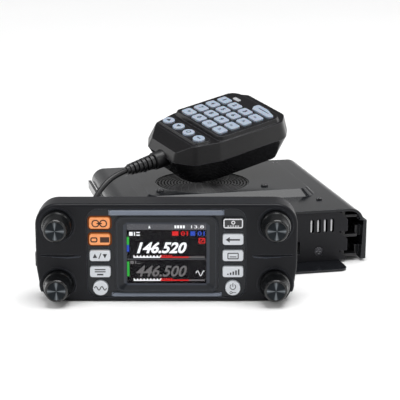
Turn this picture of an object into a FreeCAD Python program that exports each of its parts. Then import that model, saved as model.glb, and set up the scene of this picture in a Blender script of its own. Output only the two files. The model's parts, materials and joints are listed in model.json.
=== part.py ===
import FreeCAD, Part
import math
import os
import Sketcher

# Mobile transceiver: a radio unit, a separate control panel that stands in front of it, and a
# hand microphone that lies on the unit's top and is joined to it by a curly lead.
# Millimetres, +Z up. The origin is the middle of the radio unit's base. The unit's front faces -Y.

V = FreeCAD.Vector
doc = FreeCAD.newDocument("mobile_transceiver")

# ---------------------------------------------------------------- driving dimensions

DIMENSIONS = {
    # radio unit
    "unit_width": 139.0, "unit_depth": 132.0, "cover_top": 31.7, "cover_side_low": 24.6,
    "cover_corner": 8.0, "cover_wall": 1.5, "plateau_rise": 4.0, "plateau_half": 52.5,
    "plateau_front": -33.7, "plateau_back": 48.0, "plateau_slope": 4.5, "plateau_wall": 1.6,
    "grille_across": 57.0, "grille_x": -11.0, "grille_thick": 1.0,
    "plate_thick": 1.8, "plate_low": 1.3, "plate_high": 30.0, "plate_half": 60.2,
    "tooth_deep": 5.2, "tooth_pitch": 11.6, "vent_wide": 2.3, "vent_tall": 8.0, "vent_pitch": 4.0,
    "vent_first": 39.0, "vent_middle": 22.2, "front_screw_x": 43.1, "front_screw_z": 7.2,
    "base_thick": 1.2, "base_half": 55.6, "lip_deep": 17.0, "base_corner": 5.0,
    "duct_wall": 57.0, "duct_wall_thick": 2.0, "fin_reach": 66.4, "fin_thick": 1.4,
    "fin_low": 2.7, "fin_pitch": 11.7,
    "side_out": 71.8, "side_in": 70.0, "side_low": 1.1, "side_high": 24.2, "side_arch": 19.4,
    "arch_start": 8.0, "arch_end": 34.0, "bracket_hole": 4.2, "bracket_y": -38.0,
    "bracket_gap": 36.0, "bracket_z": 12.0,
    "jack_wide": 11.9, "jack_tall": 7.0, "jack_z": 9.8, "mic_jack_x": 6.0, "panel_jack_x": 25.6,
    "fan_side": 29.0, "fan_deep": 10.0, "fan_x": 16.0, "fan_z": 15.6, "fan_bore": 27.4,
    "rotor_across": 26.6, "hub_across": 12.0,
    # control panel, in its own frame: x across, y back from the front face, z up
    "panel_width": 137, "panel_tall": 53.0, "panel_deep": 18.0, "panel_split": 11.0,
    "panel_x": -55.35, "panel_y": -113.84, "panel_turn": -12.39, "panel_wall": 1.8,
    "knob_x": 56.9, "knob_high": 41.6, "knob_low": 9.4, "knob_long": 12.5, "knob_foot": 15.2,
    "knob_face": 11.5, "seat_across": 16.4, "seat_deep": 0.9,
    "fascia_half": 41.6, "fascia_low": 2.2, "fascia_high": 50.3, "bezel_half": 27.1,
    "bezel_low": 5.2, "bezel_high": 46.6, "glass_half": 20.9, "glass_low": 9.5, "glass_high": 41.8,
    "button_x": 34.8, "button_wide": 10.8, "button_tall": 5.7, "button_proud": 1.1,
    "button_top": 42.8, "button_pitch": 8.8, "round_button": 7.9, "round_z": 7.5,
    # hand microphone, in its own frame: x from cable end to top end, z out of the keypad
    "mic_x": 4.9, "mic_y": 14.9, "mic_z": 73.1, "mic_yaw": 23.0, "mic_pitch": -9.1,
    "mic_roll": 12.1, "seam": -12.5, "shell_back": -26.5,
    "key_rows": 9.13, "key_columns": 10.38, "key_long": 6.9, "key_wide": 8.5, "key_proud": 1.1,
    "small_key": 7.4, "small_key_x": -29.3, "small_key_z": -1.2, "small_key_pitch": 10.26,
    "boot_z": -15.3, "boot_tip": -71.5,
    # lead
    "lead_across": 3.3, "curl_across": 12.0,
}

sheet = doc.addObject("Spreadsheet::Sheet", "dims")
for row, (alias, value) in enumerate(DIMENSIONS.items(), start=1):
    sheet.set("A%d" % row, alias)
    sheet.set("B%d" % row, str(value))
    sheet.setAlias("B%d" % row, alias)
doc.recompute()


def val(alias):
    """A driving dimension, read back from the sheet."""
    return float(sheet.get(alias))


def expr(text):
    """Spell each alias in an expression as a cell of the sheet."""
    words = sorted(DIMENSIONS, key=len, reverse=True)
    out, spot = "", 0
    while spot < len(text):
        word = next((w for w in words if text.startswith(w, spot)), None)
        out += "dims." + word if word else text[spot]
        spot += len(word) if word else 1
    return out


def number(text):
    """The value of such an expression."""
    probe = doc.getObject("probe") or doc.addObject("App::FeaturePython", "probe")
    if "value" not in probe.PropertiesList:
        probe.addProperty("App::PropertyFloat", "value")
    probe.setExpression("value", expr(str(text)))
    probe.recompute()
    return probe.value


# ---------------------------------------------------------------- places of the three groups

HERE = FreeCAD.Placement()
PANEL = FreeCAD.Placement(V(val("panel_x"), val("panel_y"), 0), FreeCAD.Rotation(val("panel_turn"), 0, 0))
MIC = FreeCAD.Placement(
    V(val("mic_x"), val("mic_y"), val("mic_z")),
    FreeCAD.Rotation(val("mic_yaw"), val("mic_pitch"), val("mic_roll")),
)
parts = {}


def keep(label, piece, place=HERE):
    """File a finished sub-part under its label, in its group's place."""
    piece.Label = label
    piece.Placement = place
    parts[label] = piece
    return piece


# ---------------------------------------------------------------- sketch and feature helpers

def corner_path(points):
    """Lines and arcs round a closed outline; a point with a third value is rounded to that radius."""
    count = len(points)
    spots = [V(p[0], p[1], 0) for p in points]
    ends = []
    for i, point in enumerate(points):
        radius = point[2] if len(point) > 2 else 0.0
        before = (spots[i - 1] - spots[i]).normalize()
        after = (spots[(i + 1) % count] - spots[i]).normalize()
        if radius <= 0:
            ends.append((spots[i], None, spots[i]))
            continue
        half = before.getAngle(after) / 2
        reach = radius / math.tan(half)
        bisector = (before + after).normalize()
        middle = spots[i] + bisector * (radius / math.sin(half) - radius)
        ends.append((spots[i] + before * reach, middle, spots[i] + after * reach))
    path = []
    for i, (first, middle, last) in enumerate(ends):
        if middle is not None:
            path.append(Part.Arc(first, middle, last))
        following = ends[(i + 1) % count][0]
        if (following - last).Length > 1e-6:
            path.append(Part.LineSegment(last, following))
    return path


def box_outline(low_x, high_x, low_y, high_y, radius=0.0):
    """A rectangle's four corners."""
    corners = ((low_x, low_y), (high_x, low_y), (high_x, high_y), (low_x, high_y))
    return [(*corner, radius) for corner in corners]


def start_body(name):
    return doc.addObject("PartDesign::Body", name + "_body")


# The sign that the plane's normal has along its world axis.
NORMAL = {"XY_Plane": 1, "XZ_Plane": -1, "YZ_Plane": 1}


def sketch_at(body, plane, height, outlines=(), circles=()):
    """A sketch across one of the body's planes, at a height along the world axis."""
    sketch = body.newObject("Sketcher::SketchObject", "outline")
    origin = next(f for f in body.Origin.OriginFeatures if f.Role == plane)
    sketch.AttachmentSupport = [(origin, "")]
    sketch.MapMode = "FlatFace"
    sign = "" if NORMAL[plane] > 0 else "-"
    sketch.setExpression("AttachmentOffset.Base.z", "%s(%s)" % (sign, expr(str(height))))
    for outline in outlines:
        sketch.addGeometry(corner_path(outline), False)
    for x, y, across in circles:
        index = sketch.addGeometry(Part.Circle(V(x, y, 0), V(0, 0, 1), number(across) / 2), False)
        ring = sketch.addConstraint(Sketcher.Constraint("Diameter", index, number(across)))
        sketch.setExpression("Constraints[%d]" % ring, expr(str(across)))
    return sketch


def add_pad(body, plane, low, high, outlines=(), circles=()):
    """Fill the outlines from low to high along the plane's axis."""
    base = low if NORMAL[plane] > 0 else high
    pad = body.newObject("PartDesign::Pad", "pad")
    pad.Profile = sketch_at(body, plane, base, outlines, circles)
    pad.setExpression("Length", expr("(%s)-(%s)" % (high, low)))
    doc.recompute()
    return pad


def add_pocket(body, plane, low, high, outlines=(), circles=()):
    """Cut the outlines from low to high along the plane's axis."""
    before = body.Shape.Volume
    base = high if NORMAL[plane] > 0 else low
    pocket = body.newObject("PartDesign::Pocket", "pocket")
    pocket.Profile = sketch_at(body, plane, base, outlines, circles)
    pocket.setExpression("Length", expr("(%s)-(%s)" % (high, low)))
    doc.recompute()
    if body.Shape.Volume > before - 1e-3:
        raise ValueError("%s: a pocket cuts nothing" % body.Name)
    return pocket


def add_loft(body, plane, low, high, first, second, kind="PartDesign::AdditiveLoft"):
    """A straight-sided block between two outlines with as many corners."""
    loft = body.newObject(kind, "loft")
    loft.Profile = sketch_at(body, plane, low, [first])
    loft.Sections = [sketch_at(body, plane, high, [second])]
    loft.Ruled = True
    doc.recompute()
    return loft


def add_fillet(body, size, wanted, kind="PartDesign::Fillet"):
    """Round or chamfer the tip's edges that the test wants."""
    tip = body.Tip
    names = ["Edge%d" % (i + 1) for i, edge in enumerate(tip.Shape.Edges) if wanted(edge)]
    feature = body.newObject(kind, "edge_break")
    feature.Base = (tip, names)
    feature.setExpression("Radius" if kind.endswith("Fillet") else "Size", expr(str(size)))
    doc.recompute()
    return feature


def add_turn(body, outline, spot=(0, 0), kind="PartDesign::Revolution"):
    """Turn an outline of (radius, height) points about a vertical axis."""
    sketch = body.newObject("Sketcher::SketchObject", "half_section")
    origin = next(f for f in body.Origin.OriginFeatures if f.Role == "XZ_Plane")
    sketch.AttachmentSupport = [(origin, "")]
    sketch.MapMode = "FlatFace"
    sketch.addGeometry(corner_path(outline), False)
    turn = body.newObject(kind, "turn")
    turn.Profile = sketch
    turn.ReferenceAxis = (sketch, ["V_Axis"])
    turn.Angle = 360
    doc.recompute()
    return turn


def flat_at(edge, axis, height, slack=0.02):
    """Whether an edge lies in the plane at this height along the axis."""
    box = edge.BoundBox
    low, high = (getattr(box, axis + end) for end in ("Min", "Max"))
    return abs(low - height) < slack and abs(high - height) < slack


def primitive(kind, name, place=HERE, **sizes):
    """A Part primitive whose sizes are expressions of the sheet."""
    thing = doc.addObject("Part::" + kind, name)
    for size, text in sizes.items():
        thing.setExpression(size, expr(str(text)))
    thing.Placement = place
    return thing


def box_at(name, low, high):
    """A block between two corners."""
    size = [str(h - l) for l, h in zip(low, high)]
    place = FreeCAD.Placement(V(*low), FreeCAD.Rotation())
    return primitive("Box", name, place, Length=size[0], Width=size[1], Height=size[2])


def rod_at(name, start, along, across, length):
    """A round bar from a point along a direction."""
    place = FreeCAD.Placement(V(*start), FreeCAD.Rotation(V(0, 0, 1), V(*along)))
    return primitive("Cylinder", name, place, Radius="(%s)/2" % across, Height=length)


def join(kind, name, pieces):
    """A MultiFuse or Compound of several objects."""
    thing = doc.addObject("Part::" + kind, name)
    setattr(thing, "Links" if kind == "Compound" else "Shapes", pieces)
    doc.recompute()
    return thing


def cut(name, base, tool):
    thing = doc.addObject("Part::Cut", name)
    thing.Base = base
    thing.Tool = tool
    doc.recompute()
    return thing


# ---------------------------------------------------------------- radio unit: sheet metal and casting

half_width = val("unit_width") / 2
half_depth = val("unit_depth") / 2
FRONT = "(-unit_depth/2)"
BACK = "(unit_depth/2)"
cover_top = val("cover_top")
plateau_top = cover_top + val("plateau_rise")
COVER_SCREWS = [(23.3, -18.0), (-40.5, -18.0), (23.3, 38.0), (-40.5, 38.0)]
REAR_SCREWS = [(-55.5, 3.8), (-55.5, 27.2), (54.5, 5.0), (54.5, 26.0)]
RIM_SCREWS = [(-50.2, -42.0), (50.2, -42.0), (-50.2, 56.0), (50.2, 56.0)]


def make_top_cover():
    """The cover wraps over the top and the tops of the sides, with a raised middle for the speaker."""
    body = start_body("top_cover")
    low, wall, corner = val("cover_side_low"), val("cover_wall"), val("cover_corner")
    section = [
        (-half_width, low), (-half_width, cover_top, corner),
        (half_width, cover_top, corner), (half_width, low),
        (half_width - wall, low), (half_width - wall, cover_top - wall, corner - wall),
        (-half_width + wall, cover_top - wall, corner - wall), (-half_width + wall, low),
    ]
    add_pad(body, "XZ_Plane", FRONT, BACK, [section])
    half, front, back = val("plateau_half"), val("plateau_front"), val("plateau_back")
    slope, wall = val("plateau_slope"), val("plateau_wall")
    add_loft(
        body, "XY_Plane", "cover_top-0.5", "cover_top+plateau_rise",
        box_outline(-half, half, front, back, 9.0),
        box_outline(-half + slope, half - slope, front + slope, back - slope, 7.0),
    )
    inside = slope + wall
    hollow = box_outline(-half + inside, half - inside, front + inside, back - inside, 5.0)
    add_pocket(body, "XY_Plane", "cover_top-cover_wall-1", "cover_top+plateau_rise-plateau_wall", [hollow])
    add_pocket(
        body, "XY_Plane", "cover_top", "cover_top+plateau_rise+1",
        circles=[(val("grille_x"), 0, "grille_across")],
    )
    add_pocket(
        body, "XY_Plane", "cover_top-3", "cover_top+plateau_rise+1",
        circles=[(x, y, 2.6) for x, y in COVER_SCREWS] + [(x, y, 2.2) for x, y in RIM_SCREWS],
    )
    keep("top_cover", body)


def make_speaker_grille():
    """A round insert with rings of short curved slots."""
    body = start_body("speaker_grille")
    top = "cover_top+plateau_rise-0.3"
    bottom = "cover_top+plateau_rise-0.3-grille_thick"
    add_pad(body, "XY_Plane", bottom, top, circles=[(val("grille_x"), 0, "grille_across-0.3")])
    slots = []
    for ring in range(1, 5):
        radius, count = 5.6 * ring, 6 * ring
        for spot in range(count):
            angle = 2 * math.pi * (spot + 0.5 * (ring % 2)) / count
            x, y = val("grille_x") + radius * math.cos(angle), radius * math.sin(angle)
            slots.append((x, y, 2.4))
    add_pocket(body, "XY_Plane", bottom + "-1", top + "+1", circles=slots)
    keep("speaker_grille", body)


def tooth_outline(side):
    """One end of the front plate: three air notches, each flat above and sloping below."""
    out, back = val("plate_half"), val("plate_half") - val("tooth_deep")
    points = []
    high = val("plate_high")
    for step in range(3):
        points += [(back, high), (out, high - 4.6)]
        high -= val("tooth_pitch")
        if step < 2:
            points += [(out, high)]
    points += [(out - 1.0, val("plate_low"))]
    return [(side * x, z) for x, z in points]


def make_front_plate():
    """The front plate, with four upright vents, two modular sockets and two screw holes."""
    body = start_body("front_plate")
    outline = tooth_outline(1) + list(reversed(tooth_outline(-1)))
    add_pad(body, "XZ_Plane", FRONT + "+0.4", FRONT + "+0.4+plate_thick", [outline])
    openings = []
    for number_along in range(4):
        x = val("vent_first") + number_along * val("vent_pitch")
        half_wide, half_tall = val("vent_wide") / 2, val("vent_tall") / 2
        middle = val("vent_middle")
        low, high = middle - half_tall, middle + half_tall
        openings.append(box_outline(x - half_wide, x + half_wide, low, high, 0.9))
    for x in (val("mic_jack_x"), val("panel_jack_x")):
        half_wide, half_tall = val("jack_wide") / 2 + 0.3, val("jack_tall") / 2 + 0.3
        low, high = val("jack_z") - half_tall, val("jack_z") + half_tall
        openings.append(box_outline(x - half_wide, x + half_wide, low, high, 0.5))
    add_pocket(body, "XZ_Plane", FRONT, FRONT + "+3", openings)
    places = [(side * val("front_screw_x"), val("front_screw_z")) for side in (-1, 1)]
    add_pocket(body, "XZ_Plane", FRONT, FRONT + "+3", circles=[(x, z, 2.6) for x, z in places])
    add_pocket(body, "XZ_Plane", FRONT, FRONT + "+1.3", circles=[(x, z, 5.4) for x, z in places])
    keep("front_plate", body)


def make_base_plate():
    """The base plate runs forward as a thin lip in front of the unit."""
    body = start_body("base_plate")
    half, front = val("base_half"), -half_depth - val("lip_deep")
    corner = val("base_corner")
    rear = half_depth - 4
    outline = [(-half, front, corner), (half, front, corner), (half, rear, 1), (-half, rear, 1)]
    add_pad(body, "XY_Plane", 0, "base_thick", [outline])
    keep("base_plate", body)


def make_chassis():
    """The casting: a floor, two upright duct walls and three cooling fins outside each wall."""
    body = start_body("chassis")
    wall, thick = val("duct_wall"), val("duct_wall_thick")
    low, high = val("base_thick") + 0.05, val("plate_high")
    floor_top = low + 2.0
    section = [
        (-wall - thick, low), (wall + thick, low), (wall + thick, high), (wall, high),
        (wall, floor_top), (-wall, floor_top), (-wall, high), (-wall - thick, high),
    ]
    add_pad(body, "XZ_Plane", FRONT + "+2.3", BACK + "-2.3", [section])
    fins = []
    for level in range(3):
        low_fin = val("fin_low") + level * val("fin_pitch")
        for side in (-1, 1):
            ends = sorted((side * (wall + thick - 0.2), side * val("fin_reach")))
            fins.append(box_outline(ends[0], ends[1], low_fin, low_fin + val("fin_thick")))
    add_pad(body, "XZ_Plane", FRONT + "+2.25", BACK + "-3", fins)
    keep("chassis", body)


def make_side_wall(label, side):
    """The air duct's outer wall: thicker below, arched up behind, with two bracket holes."""
    body = start_body(label)
    out, inner, low, high = (val(name) for name in ("side_out", "side_in", "side_low", "side_high"))
    section = [(side * x, z) for x, z in ((inner, high), (out, high), (out - 0.2, low), (inner - 1.3, low))]
    add_pad(body, "XZ_Plane", FRONT + "+0.6", BACK, [section])
    arch = [
        (val("arch_start"), low - 1), (val("arch_end"), val("side_arch"), 12),
        (half_depth + 1, val("side_arch")), (half_depth + 1, low - 1),
    ]
    ends = ("side_in-3", "side_out+1") if side > 0 else ("-side_out-1", "-side_in+3")
    add_pocket(body, "YZ_Plane", ends[0], ends[1], [arch])
    spots = [val("bracket_y") + step * val("bracket_gap") for step in (0, 1)]
    holes = [(y, val("bracket_z"), "bracket_hole") for y in spots]
    add_pocket(body, "YZ_Plane", ends[0], ends[1], circles=holes)
    # ribs that carry the wall on the fins
    ribs = []
    for level in range(2):
        z = val("fin_low") + level * val("fin_pitch")
        near, far = side * (val("fin_reach") + 0.05), side * (inner + 0.6)
        ribs.append(sorted_outline(near, far, z - 0.4, z + 5.6))
    for y in ("-60", "-4"):
        add_pad(body, "XZ_Plane", y, y + "+7", ribs)
    keep(label, body)


def sorted_outline(x_one, x_two, low, high):
    """A rectangle whose sides are given in either order."""
    return box_outline(min(x_one, x_two), max(x_one, x_two), low, high)


def make_rear_plate():
    """The rear plate, with openings for the fan, the aerial socket and the power inlet."""
    body = start_body("rear_plate")
    half = val("duct_wall") + 1.5
    add_pad(
        body, "XZ_Plane", BACK + "-0.4-plate_thick", BACK + "-0.4",
        [box_outline(-half, half, val("plate_low"), val("plate_high"), 1.0)],
    )
    openings = [(val("fan_x"), val("fan_z"), "fan_bore-2")]
    openings += [(-40, 15.6, 12.6), (-18, 9.5, 6.4), (-18, 20.5, 9.6)]
    openings += [(x, z, 2.6) for x, z in REAR_SCREWS]
    add_pocket(body, "XZ_Plane", BACK + "-3", BACK, circles=openings)
    add_pocket(body, "XZ_Plane", BACK + "-3", BACK, [box_outline(39.7, 52.3, 8.7, 20.3, 0.5)])
    keep("rear_plate", body)


def screw(name, head, along, head_across, shank, length):
    """A pan-head screw: a domed head that ends at a point, and its shank behind it."""
    along = V(*along)
    seat = V(*head)
    top = rod_at(name + "_head", seat, tuple(along * -1), head_across, 0.75)
    slot_size = head_across * 0.62
    parts_of_head = [top]
    stem = rod_at(name + "_stem", seat + along * -0.05, tuple(along), shank, length)
    whole = join("MultiFuse", name + "_solid", parts_of_head + [stem])
    bars = []
    for turn in (0, 90):
        place = FreeCAD.Placement(seat - along * 0.9, FreeCAD.Rotation(V(0, 0, 1), along * -1))
        bar = primitive("Box", name + "_bar", Length=slot_size, Width=0.7, Height=1.2)
        spin = FreeCAD.Placement(V(0, 0, 0), FreeCAD.Rotation(V(0, 0, 1), turn))
        shift = FreeCAD.Placement(V(-slot_size / 2, -0.35, -0.6), FreeCAD.Rotation())
        bar.Placement = place * spin * shift
        bars.append(bar)
    return cut(name, whole, join("MultiFuse", name + "_cross", bars))


def make_screws():
    """Case screws: four in the raised top, four in the rim, two in the front and four behind."""
    group = []
    for index, (x, y) in enumerate(COVER_SCREWS):
        group.append(screw("cover_screw%d" % index, (x, y, plateau_top + 0.05), (0, 0, -1), 4.4, 2.2, 3.0))
    for index, (x, y) in enumerate(RIM_SCREWS):
        group.append(screw("rim_screw%d" % index, (x, y, cover_top + 0.05), (0, 0, -1), 3.4, 1.9, 3.0))
    for index, side in enumerate((-1, 1)):
        spot = (side * val("front_screw_x"), -half_depth + 1.25, val("front_screw_z"))
        group.append(screw("front_screw%d" % index, spot, (0, 1, 0), 4.6, 2.2, 1.6))
    for index, (x, z) in enumerate(REAR_SCREWS):
        group.append(screw("rear_screw%d" % index, (x, half_depth - 0.35, z), (0, -1, 0), 4.0, 2.2, 1.6))
    keep("case_screws", join("Compound", "case_screw_group", group))


def socket_shell(name, x, y_front):
    """A modular socket: a block with a stepped mouth for the plug and its latch."""
    half_wide, half_tall = val("jack_wide") / 2, val("jack_tall") / 2
    middle = val("jack_z")
    low_corner, high_corner = (x - 7.6, y_front, middle - 5.6), (x + 7.6, y_front + 16.0, middle + 5.0)
    shell = box_at(name + "_block", low_corner, high_corner)
    near = (x - half_wide, y_front - 1, middle - half_tall)
    far = (x + half_wide, y_front + 12.0, middle + half_tall)
    mouth = box_at(name + "_mouth", near, far)
    return cut(name, shell, mouth)


def make_front_sockets():
    """The two modular sockets behind the front plate: microphone and control panel."""
    start = -half_depth + 2.3
    pair = [
        socket_shell("mic_socket", val("mic_jack_x"), start),
        socket_shell("panel_socket", val("panel_jack_x"), start),
    ]
    keep("front_sockets", join("Compound", "front_socket_pair", pair))


def make_aerial_socket():
    """The aerial socket: a threaded barrel with a square flange and a hollow centre contact."""
    body = start_body("aerial_socket")
    add_pad(body, "XZ_Plane", BACK + "-0.35", BACK + "+1.8", [box_outline(-51.5, -28.5, 4.1, 27.1, 2.0)])
    add_pad(body, "XZ_Plane", BACK + "+1.7", BACK + "+13", circles=[(-40, 15.6, 15.6)])
    add_pad(body, "XZ_Plane", BACK + "-12", BACK + "-0.3", circles=[(-40, 15.6, 12.0)])
    add_pocket(body, "XZ_Plane", BACK + "+4", BACK + "+14", circles=[(-40, 15.6, 11.0)])
    add_pocket(body, "XZ_Plane", BACK + "-1", BACK + "+5", circles=[(-40, 15.6, 4.0)])
    keep("aerial_socket", body)


def make_power_inlet():
    """The supply inlet: a shrouded block with two pins."""
    body = start_body("power_inlet")
    add_pad(body, "XZ_Plane", BACK + "-8", BACK + "+5", [box_outline(40, 52, 9, 20, 0.8)])
    add_pocket(body, "XZ_Plane", BACK + "-5", BACK + "+6", [box_outline(41.2, 50.8, 10.2, 18.8, 0.5)])
    add_pad(body, "XZ_Plane", BACK + "-5.5", BACK + "+2.5", circles=[(44, 14.5, 2.0), (48, 14.5, 2.0)])
    keep("power_inlet", body)


def ring_socket(name, x, z, outer, bore, reach):
    """A round socket with a bore, its axis along Y."""
    shell = rod_at(name + "_shell", (x, half_depth - 8.0, z), (0, 1, 0), outer, 8.0 + reach)
    hole = rod_at(name + "_hole", (x, half_depth - 6.0, z), (0, 1, 0), bore, 12.0)
    return cut(name, shell, hole)


def make_rear_jacks():
    """The loudspeaker jack and the data socket."""
    pair = [
        ring_socket("speaker_jack", -18, 9.5, 6.0, 3.5, 1.2),
        ring_socket("data_socket", -18, 20.5, 9.2, 6.8, 0.6),
    ]
    keep("rear_jacks", join("Compound", "rear_jack_pair", pair))


def turned_about(x, z, angle, point):
    """An outline's point turned about (x, z), with its corner radius kept."""
    across, up = point[:2]
    turned_x = x + across * math.cos(angle) - up * math.sin(angle)
    turned_z = z + across * math.sin(angle) + up * math.cos(angle)
    return (turned_x, turned_z, *point[2:])


def make_fan():
    """The fan: a square frame with four spokes round the motor seat, and a seven-bladed rotor."""
    x, z, half = val("fan_x"), val("fan_z"), val("fan_side") / 2
    frame = start_body("fan_frame")
    square = box_outline(x - half, x + half, z - half, z + half, 3.0)
    add_pad(frame, "XZ_Plane", BACK + "-0.35", BACK + "+fan_deep", [square])
    add_pocket(frame, "XZ_Plane", BACK + "+1.2", BACK + "+fan_deep+1", circles=[(x, z, "fan_bore")])
    windows = []
    for quarter in range(4):
        angle = math.pi / 2 * quarter
        arm = [(6.6, 1.2), (13.0, 1.2), (9.8, 9.8, 1.0), (1.2, 13.0), (1.2, 6.6), (5.0, 5.0, 1.0)]
        spun = [turned_about(x, z, angle, point) for point in arm]
        windows.append(spun)
    add_pocket(frame, "XZ_Plane", BACK + "-1", BACK + "+1.3", windows)
    holes = [(x + a * (half - 3), z + b * (half - 3), 3.2) for a in (-1, 1) for b in (-1, 1)]
    add_pocket(frame, "XZ_Plane", BACK + "-1", BACK + "+fan_deep+1", circles=holes)
    keep("fan_frame", frame)

    rotor = start_body("fan_rotor")
    add_pad(rotor, "XZ_Plane", BACK + "+1.6", BACK + "+fan_deep-0.6", circles=[(x, z, "hub_across")])
    tip = val("rotor_across") / 2
    blade = [(5.5, -0.9), (tip - 0.4, 1.6), (tip - 1.2, 4.6), (5.0, 1.4)]
    blades = []
    for number_round in range(7):
        angle = 2 * math.pi * number_round / 7
        blades.append([turned_about(x, z, angle, point) for point in blade])
    for outline in blades:
        add_pad(rotor, "XZ_Plane", BACK + "+2.4", BACK + "+fan_deep-1.4", [outline])
    keep("fan_rotor", rotor)


def make_unit_insides():
    """Speaker, main board and the power stage under a heat spreader."""
    x = val("grille_x")
    cone = primitive(
        "Cone", "speaker_basket", FreeCAD.Placement(V(x, 0, 21.0), FreeCAD.Rotation()),
        Radius1="12", Radius2="25", Height="8.5",
    )
    magnet = rod_at("speaker_magnet", (x, 0, 14.5), (0, 0, 1), 24.0, 6.6)
    rim = rod_at("speaker_rim", (x, 0, 29.4), (0, 0, 1), 54.0, 1.6)
    keep("speaker", join("MultiFuse", "speaker_solid", [cone, magnet, rim]))
    board = box_at("board_slab", (-54.0, -46.0, 8.0), (54.0, 48.0, 9.6))
    corners = [(x, y, 3.3) for x in (-48, 48) for y in (-40, 40)]
    posts = [rod_at("board_post", corner, (0, 0, 1), 5.0, 4.8) for corner in corners]
    keep("main_board", join("MultiFuse", "main_board_solid", [board] + posts))
    stage = box_at("stage_block", (18.0, -30.0, 9.7), (50.0, 20.0, 17.0))
    cap = box_at("stage_cap", (24, -24, 16.9), (44, 14, 21.0))
    keep("power_stage", join("MultiFuse", "power_stage_solid", [stage, cap]))


# ---------------------------------------------------------------- control panel

panel_half = val("panel_width") / 2
panel_tall = val("panel_tall")
KNOBS = {
    "upper_left_knob": (-1, "knob_high"), "upper_right_knob": (1, "knob_high"),
    "lower_left_knob": (-1, "knob_low"), "lower_right_knob": (1, "knob_low"),
}
LEFT_BUTTONS = ["group_button", "mode_button", "main_band_button", "memory_button"]
RIGHT_BUTTONS = ["function_button", "back_button", "display_button", "squelch_button"]


def panel_outline(inset=0.0):
    """The panel's outline: broad shoulders, and sides that draw in below."""
    out, top = panel_half - inset, panel_tall - inset
    return [
        (-out + 6.0, inset, 5.0), (out - 6.0, inset, 5.0), (out - 1.8, 7.0, 6.0), (out, 19.0, 30.0),
        (out, top, 11.5 - inset), (-out, top, 11.5 - inset), (-out, 19.0, 30.0), (-out + 1.8, 7.0, 6.0),
    ]


def knob_spots():
    return [(side * val("knob_x"), val(level)) for side, level in KNOBS.values()]


def make_panel_shells():
    """The panel's front and rear shells."""
    front = start_body("panel_front_shell")
    add_pad(front, "XZ_Plane", "0", "panel_split", [panel_outline()])
    add_fillet(front, 1.6, lambda edge: flat_at(edge, "Y", 0.0))
    add_pocket(front, "XZ_Plane", "2.6", "panel_split+1", [panel_outline(val("panel_wall"))])
    half, low, high = val("fascia_half"), val("fascia_low"), val("fascia_high")
    add_pocket(front, "XZ_Plane", "-1", "4", [box_outline(-half, half, low, high, 6.0)])
    for x, z in knob_spots():
        add_pocket(front, "XZ_Plane", "-1", "seat_deep", circles=[(x, z, "seat_across")])
        add_pocket(front, "XZ_Plane", "-1", "4", circles=[(x, z, 7.2)])
    # the shallow crease between the upper and the lower knob
    for side in (-1, 1):
        upper_edge = [(side * 44.5, 25.0), (side * 52.0, 25.8), (side * 66.0, 25.5)]
        lower_edge = [(side * 66.0, 24.9), (side * 52.0, 24.3)]
        add_pocket(front, "XZ_Plane", "-1", "1", [upper_edge + lower_edge])
    slot = box_outline(5.5, 9.3, 17.2, 25.4, 1.2)
    add_pocket(front, "YZ_Plane", "-panel_width/2-1", "-panel_width/2+panel_wall+1", [slot])
    keep("panel_front_shell", front, PANEL)

    rear = start_body("panel_rear_shell")
    add_pad(rear, "XZ_Plane", "panel_split+0.05", "panel_deep", [panel_outline(0.25)])
    add_fillet(rear, 1.5, lambda edge: flat_at(edge, "Y", val("panel_deep")))
    add_pocket(rear, "XZ_Plane", "panel_split", "panel_deep-1.8", [panel_outline(2.0)])
    add_pocket(rear, "XZ_Plane", "panel_deep-2.5", "panel_deep+1", [box_outline(-6.2, 6.2, 6.0, 14.0, 0.6)])
    vents = [box_outline(-40 + 6 * k, -37.5 + 6 * k, 24.0, 40.0, 1.2) for k in range(14)]
    add_pocket(rear, "XZ_Plane", "panel_deep-0.8", "panel_deep+1", vents)
    keep("panel_rear_shell", rear, PANEL)

    cap = start_body("card_slot_cap")
    lid = box_outline(5.7, 9.1, 17.4, 25.2, 1.1)
    add_pad(cap, "YZ_Plane", "-panel_width/2-0.9", "-panel_width/2+panel_wall-0.1", [lid])
    keep("card_slot_cap", cap, PANEL)


def button_outline(x, z, grow=0.0):
    half_wide, half_tall = val("button_wide") / 2 + grow, val("button_tall") / 2 + grow
    return box_outline(x - half_wide, x + half_wide, z - half_tall, z + half_tall, 1.3 + grow)


def button_level(step):
    return val("button_top") - step * val("button_pitch")


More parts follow.
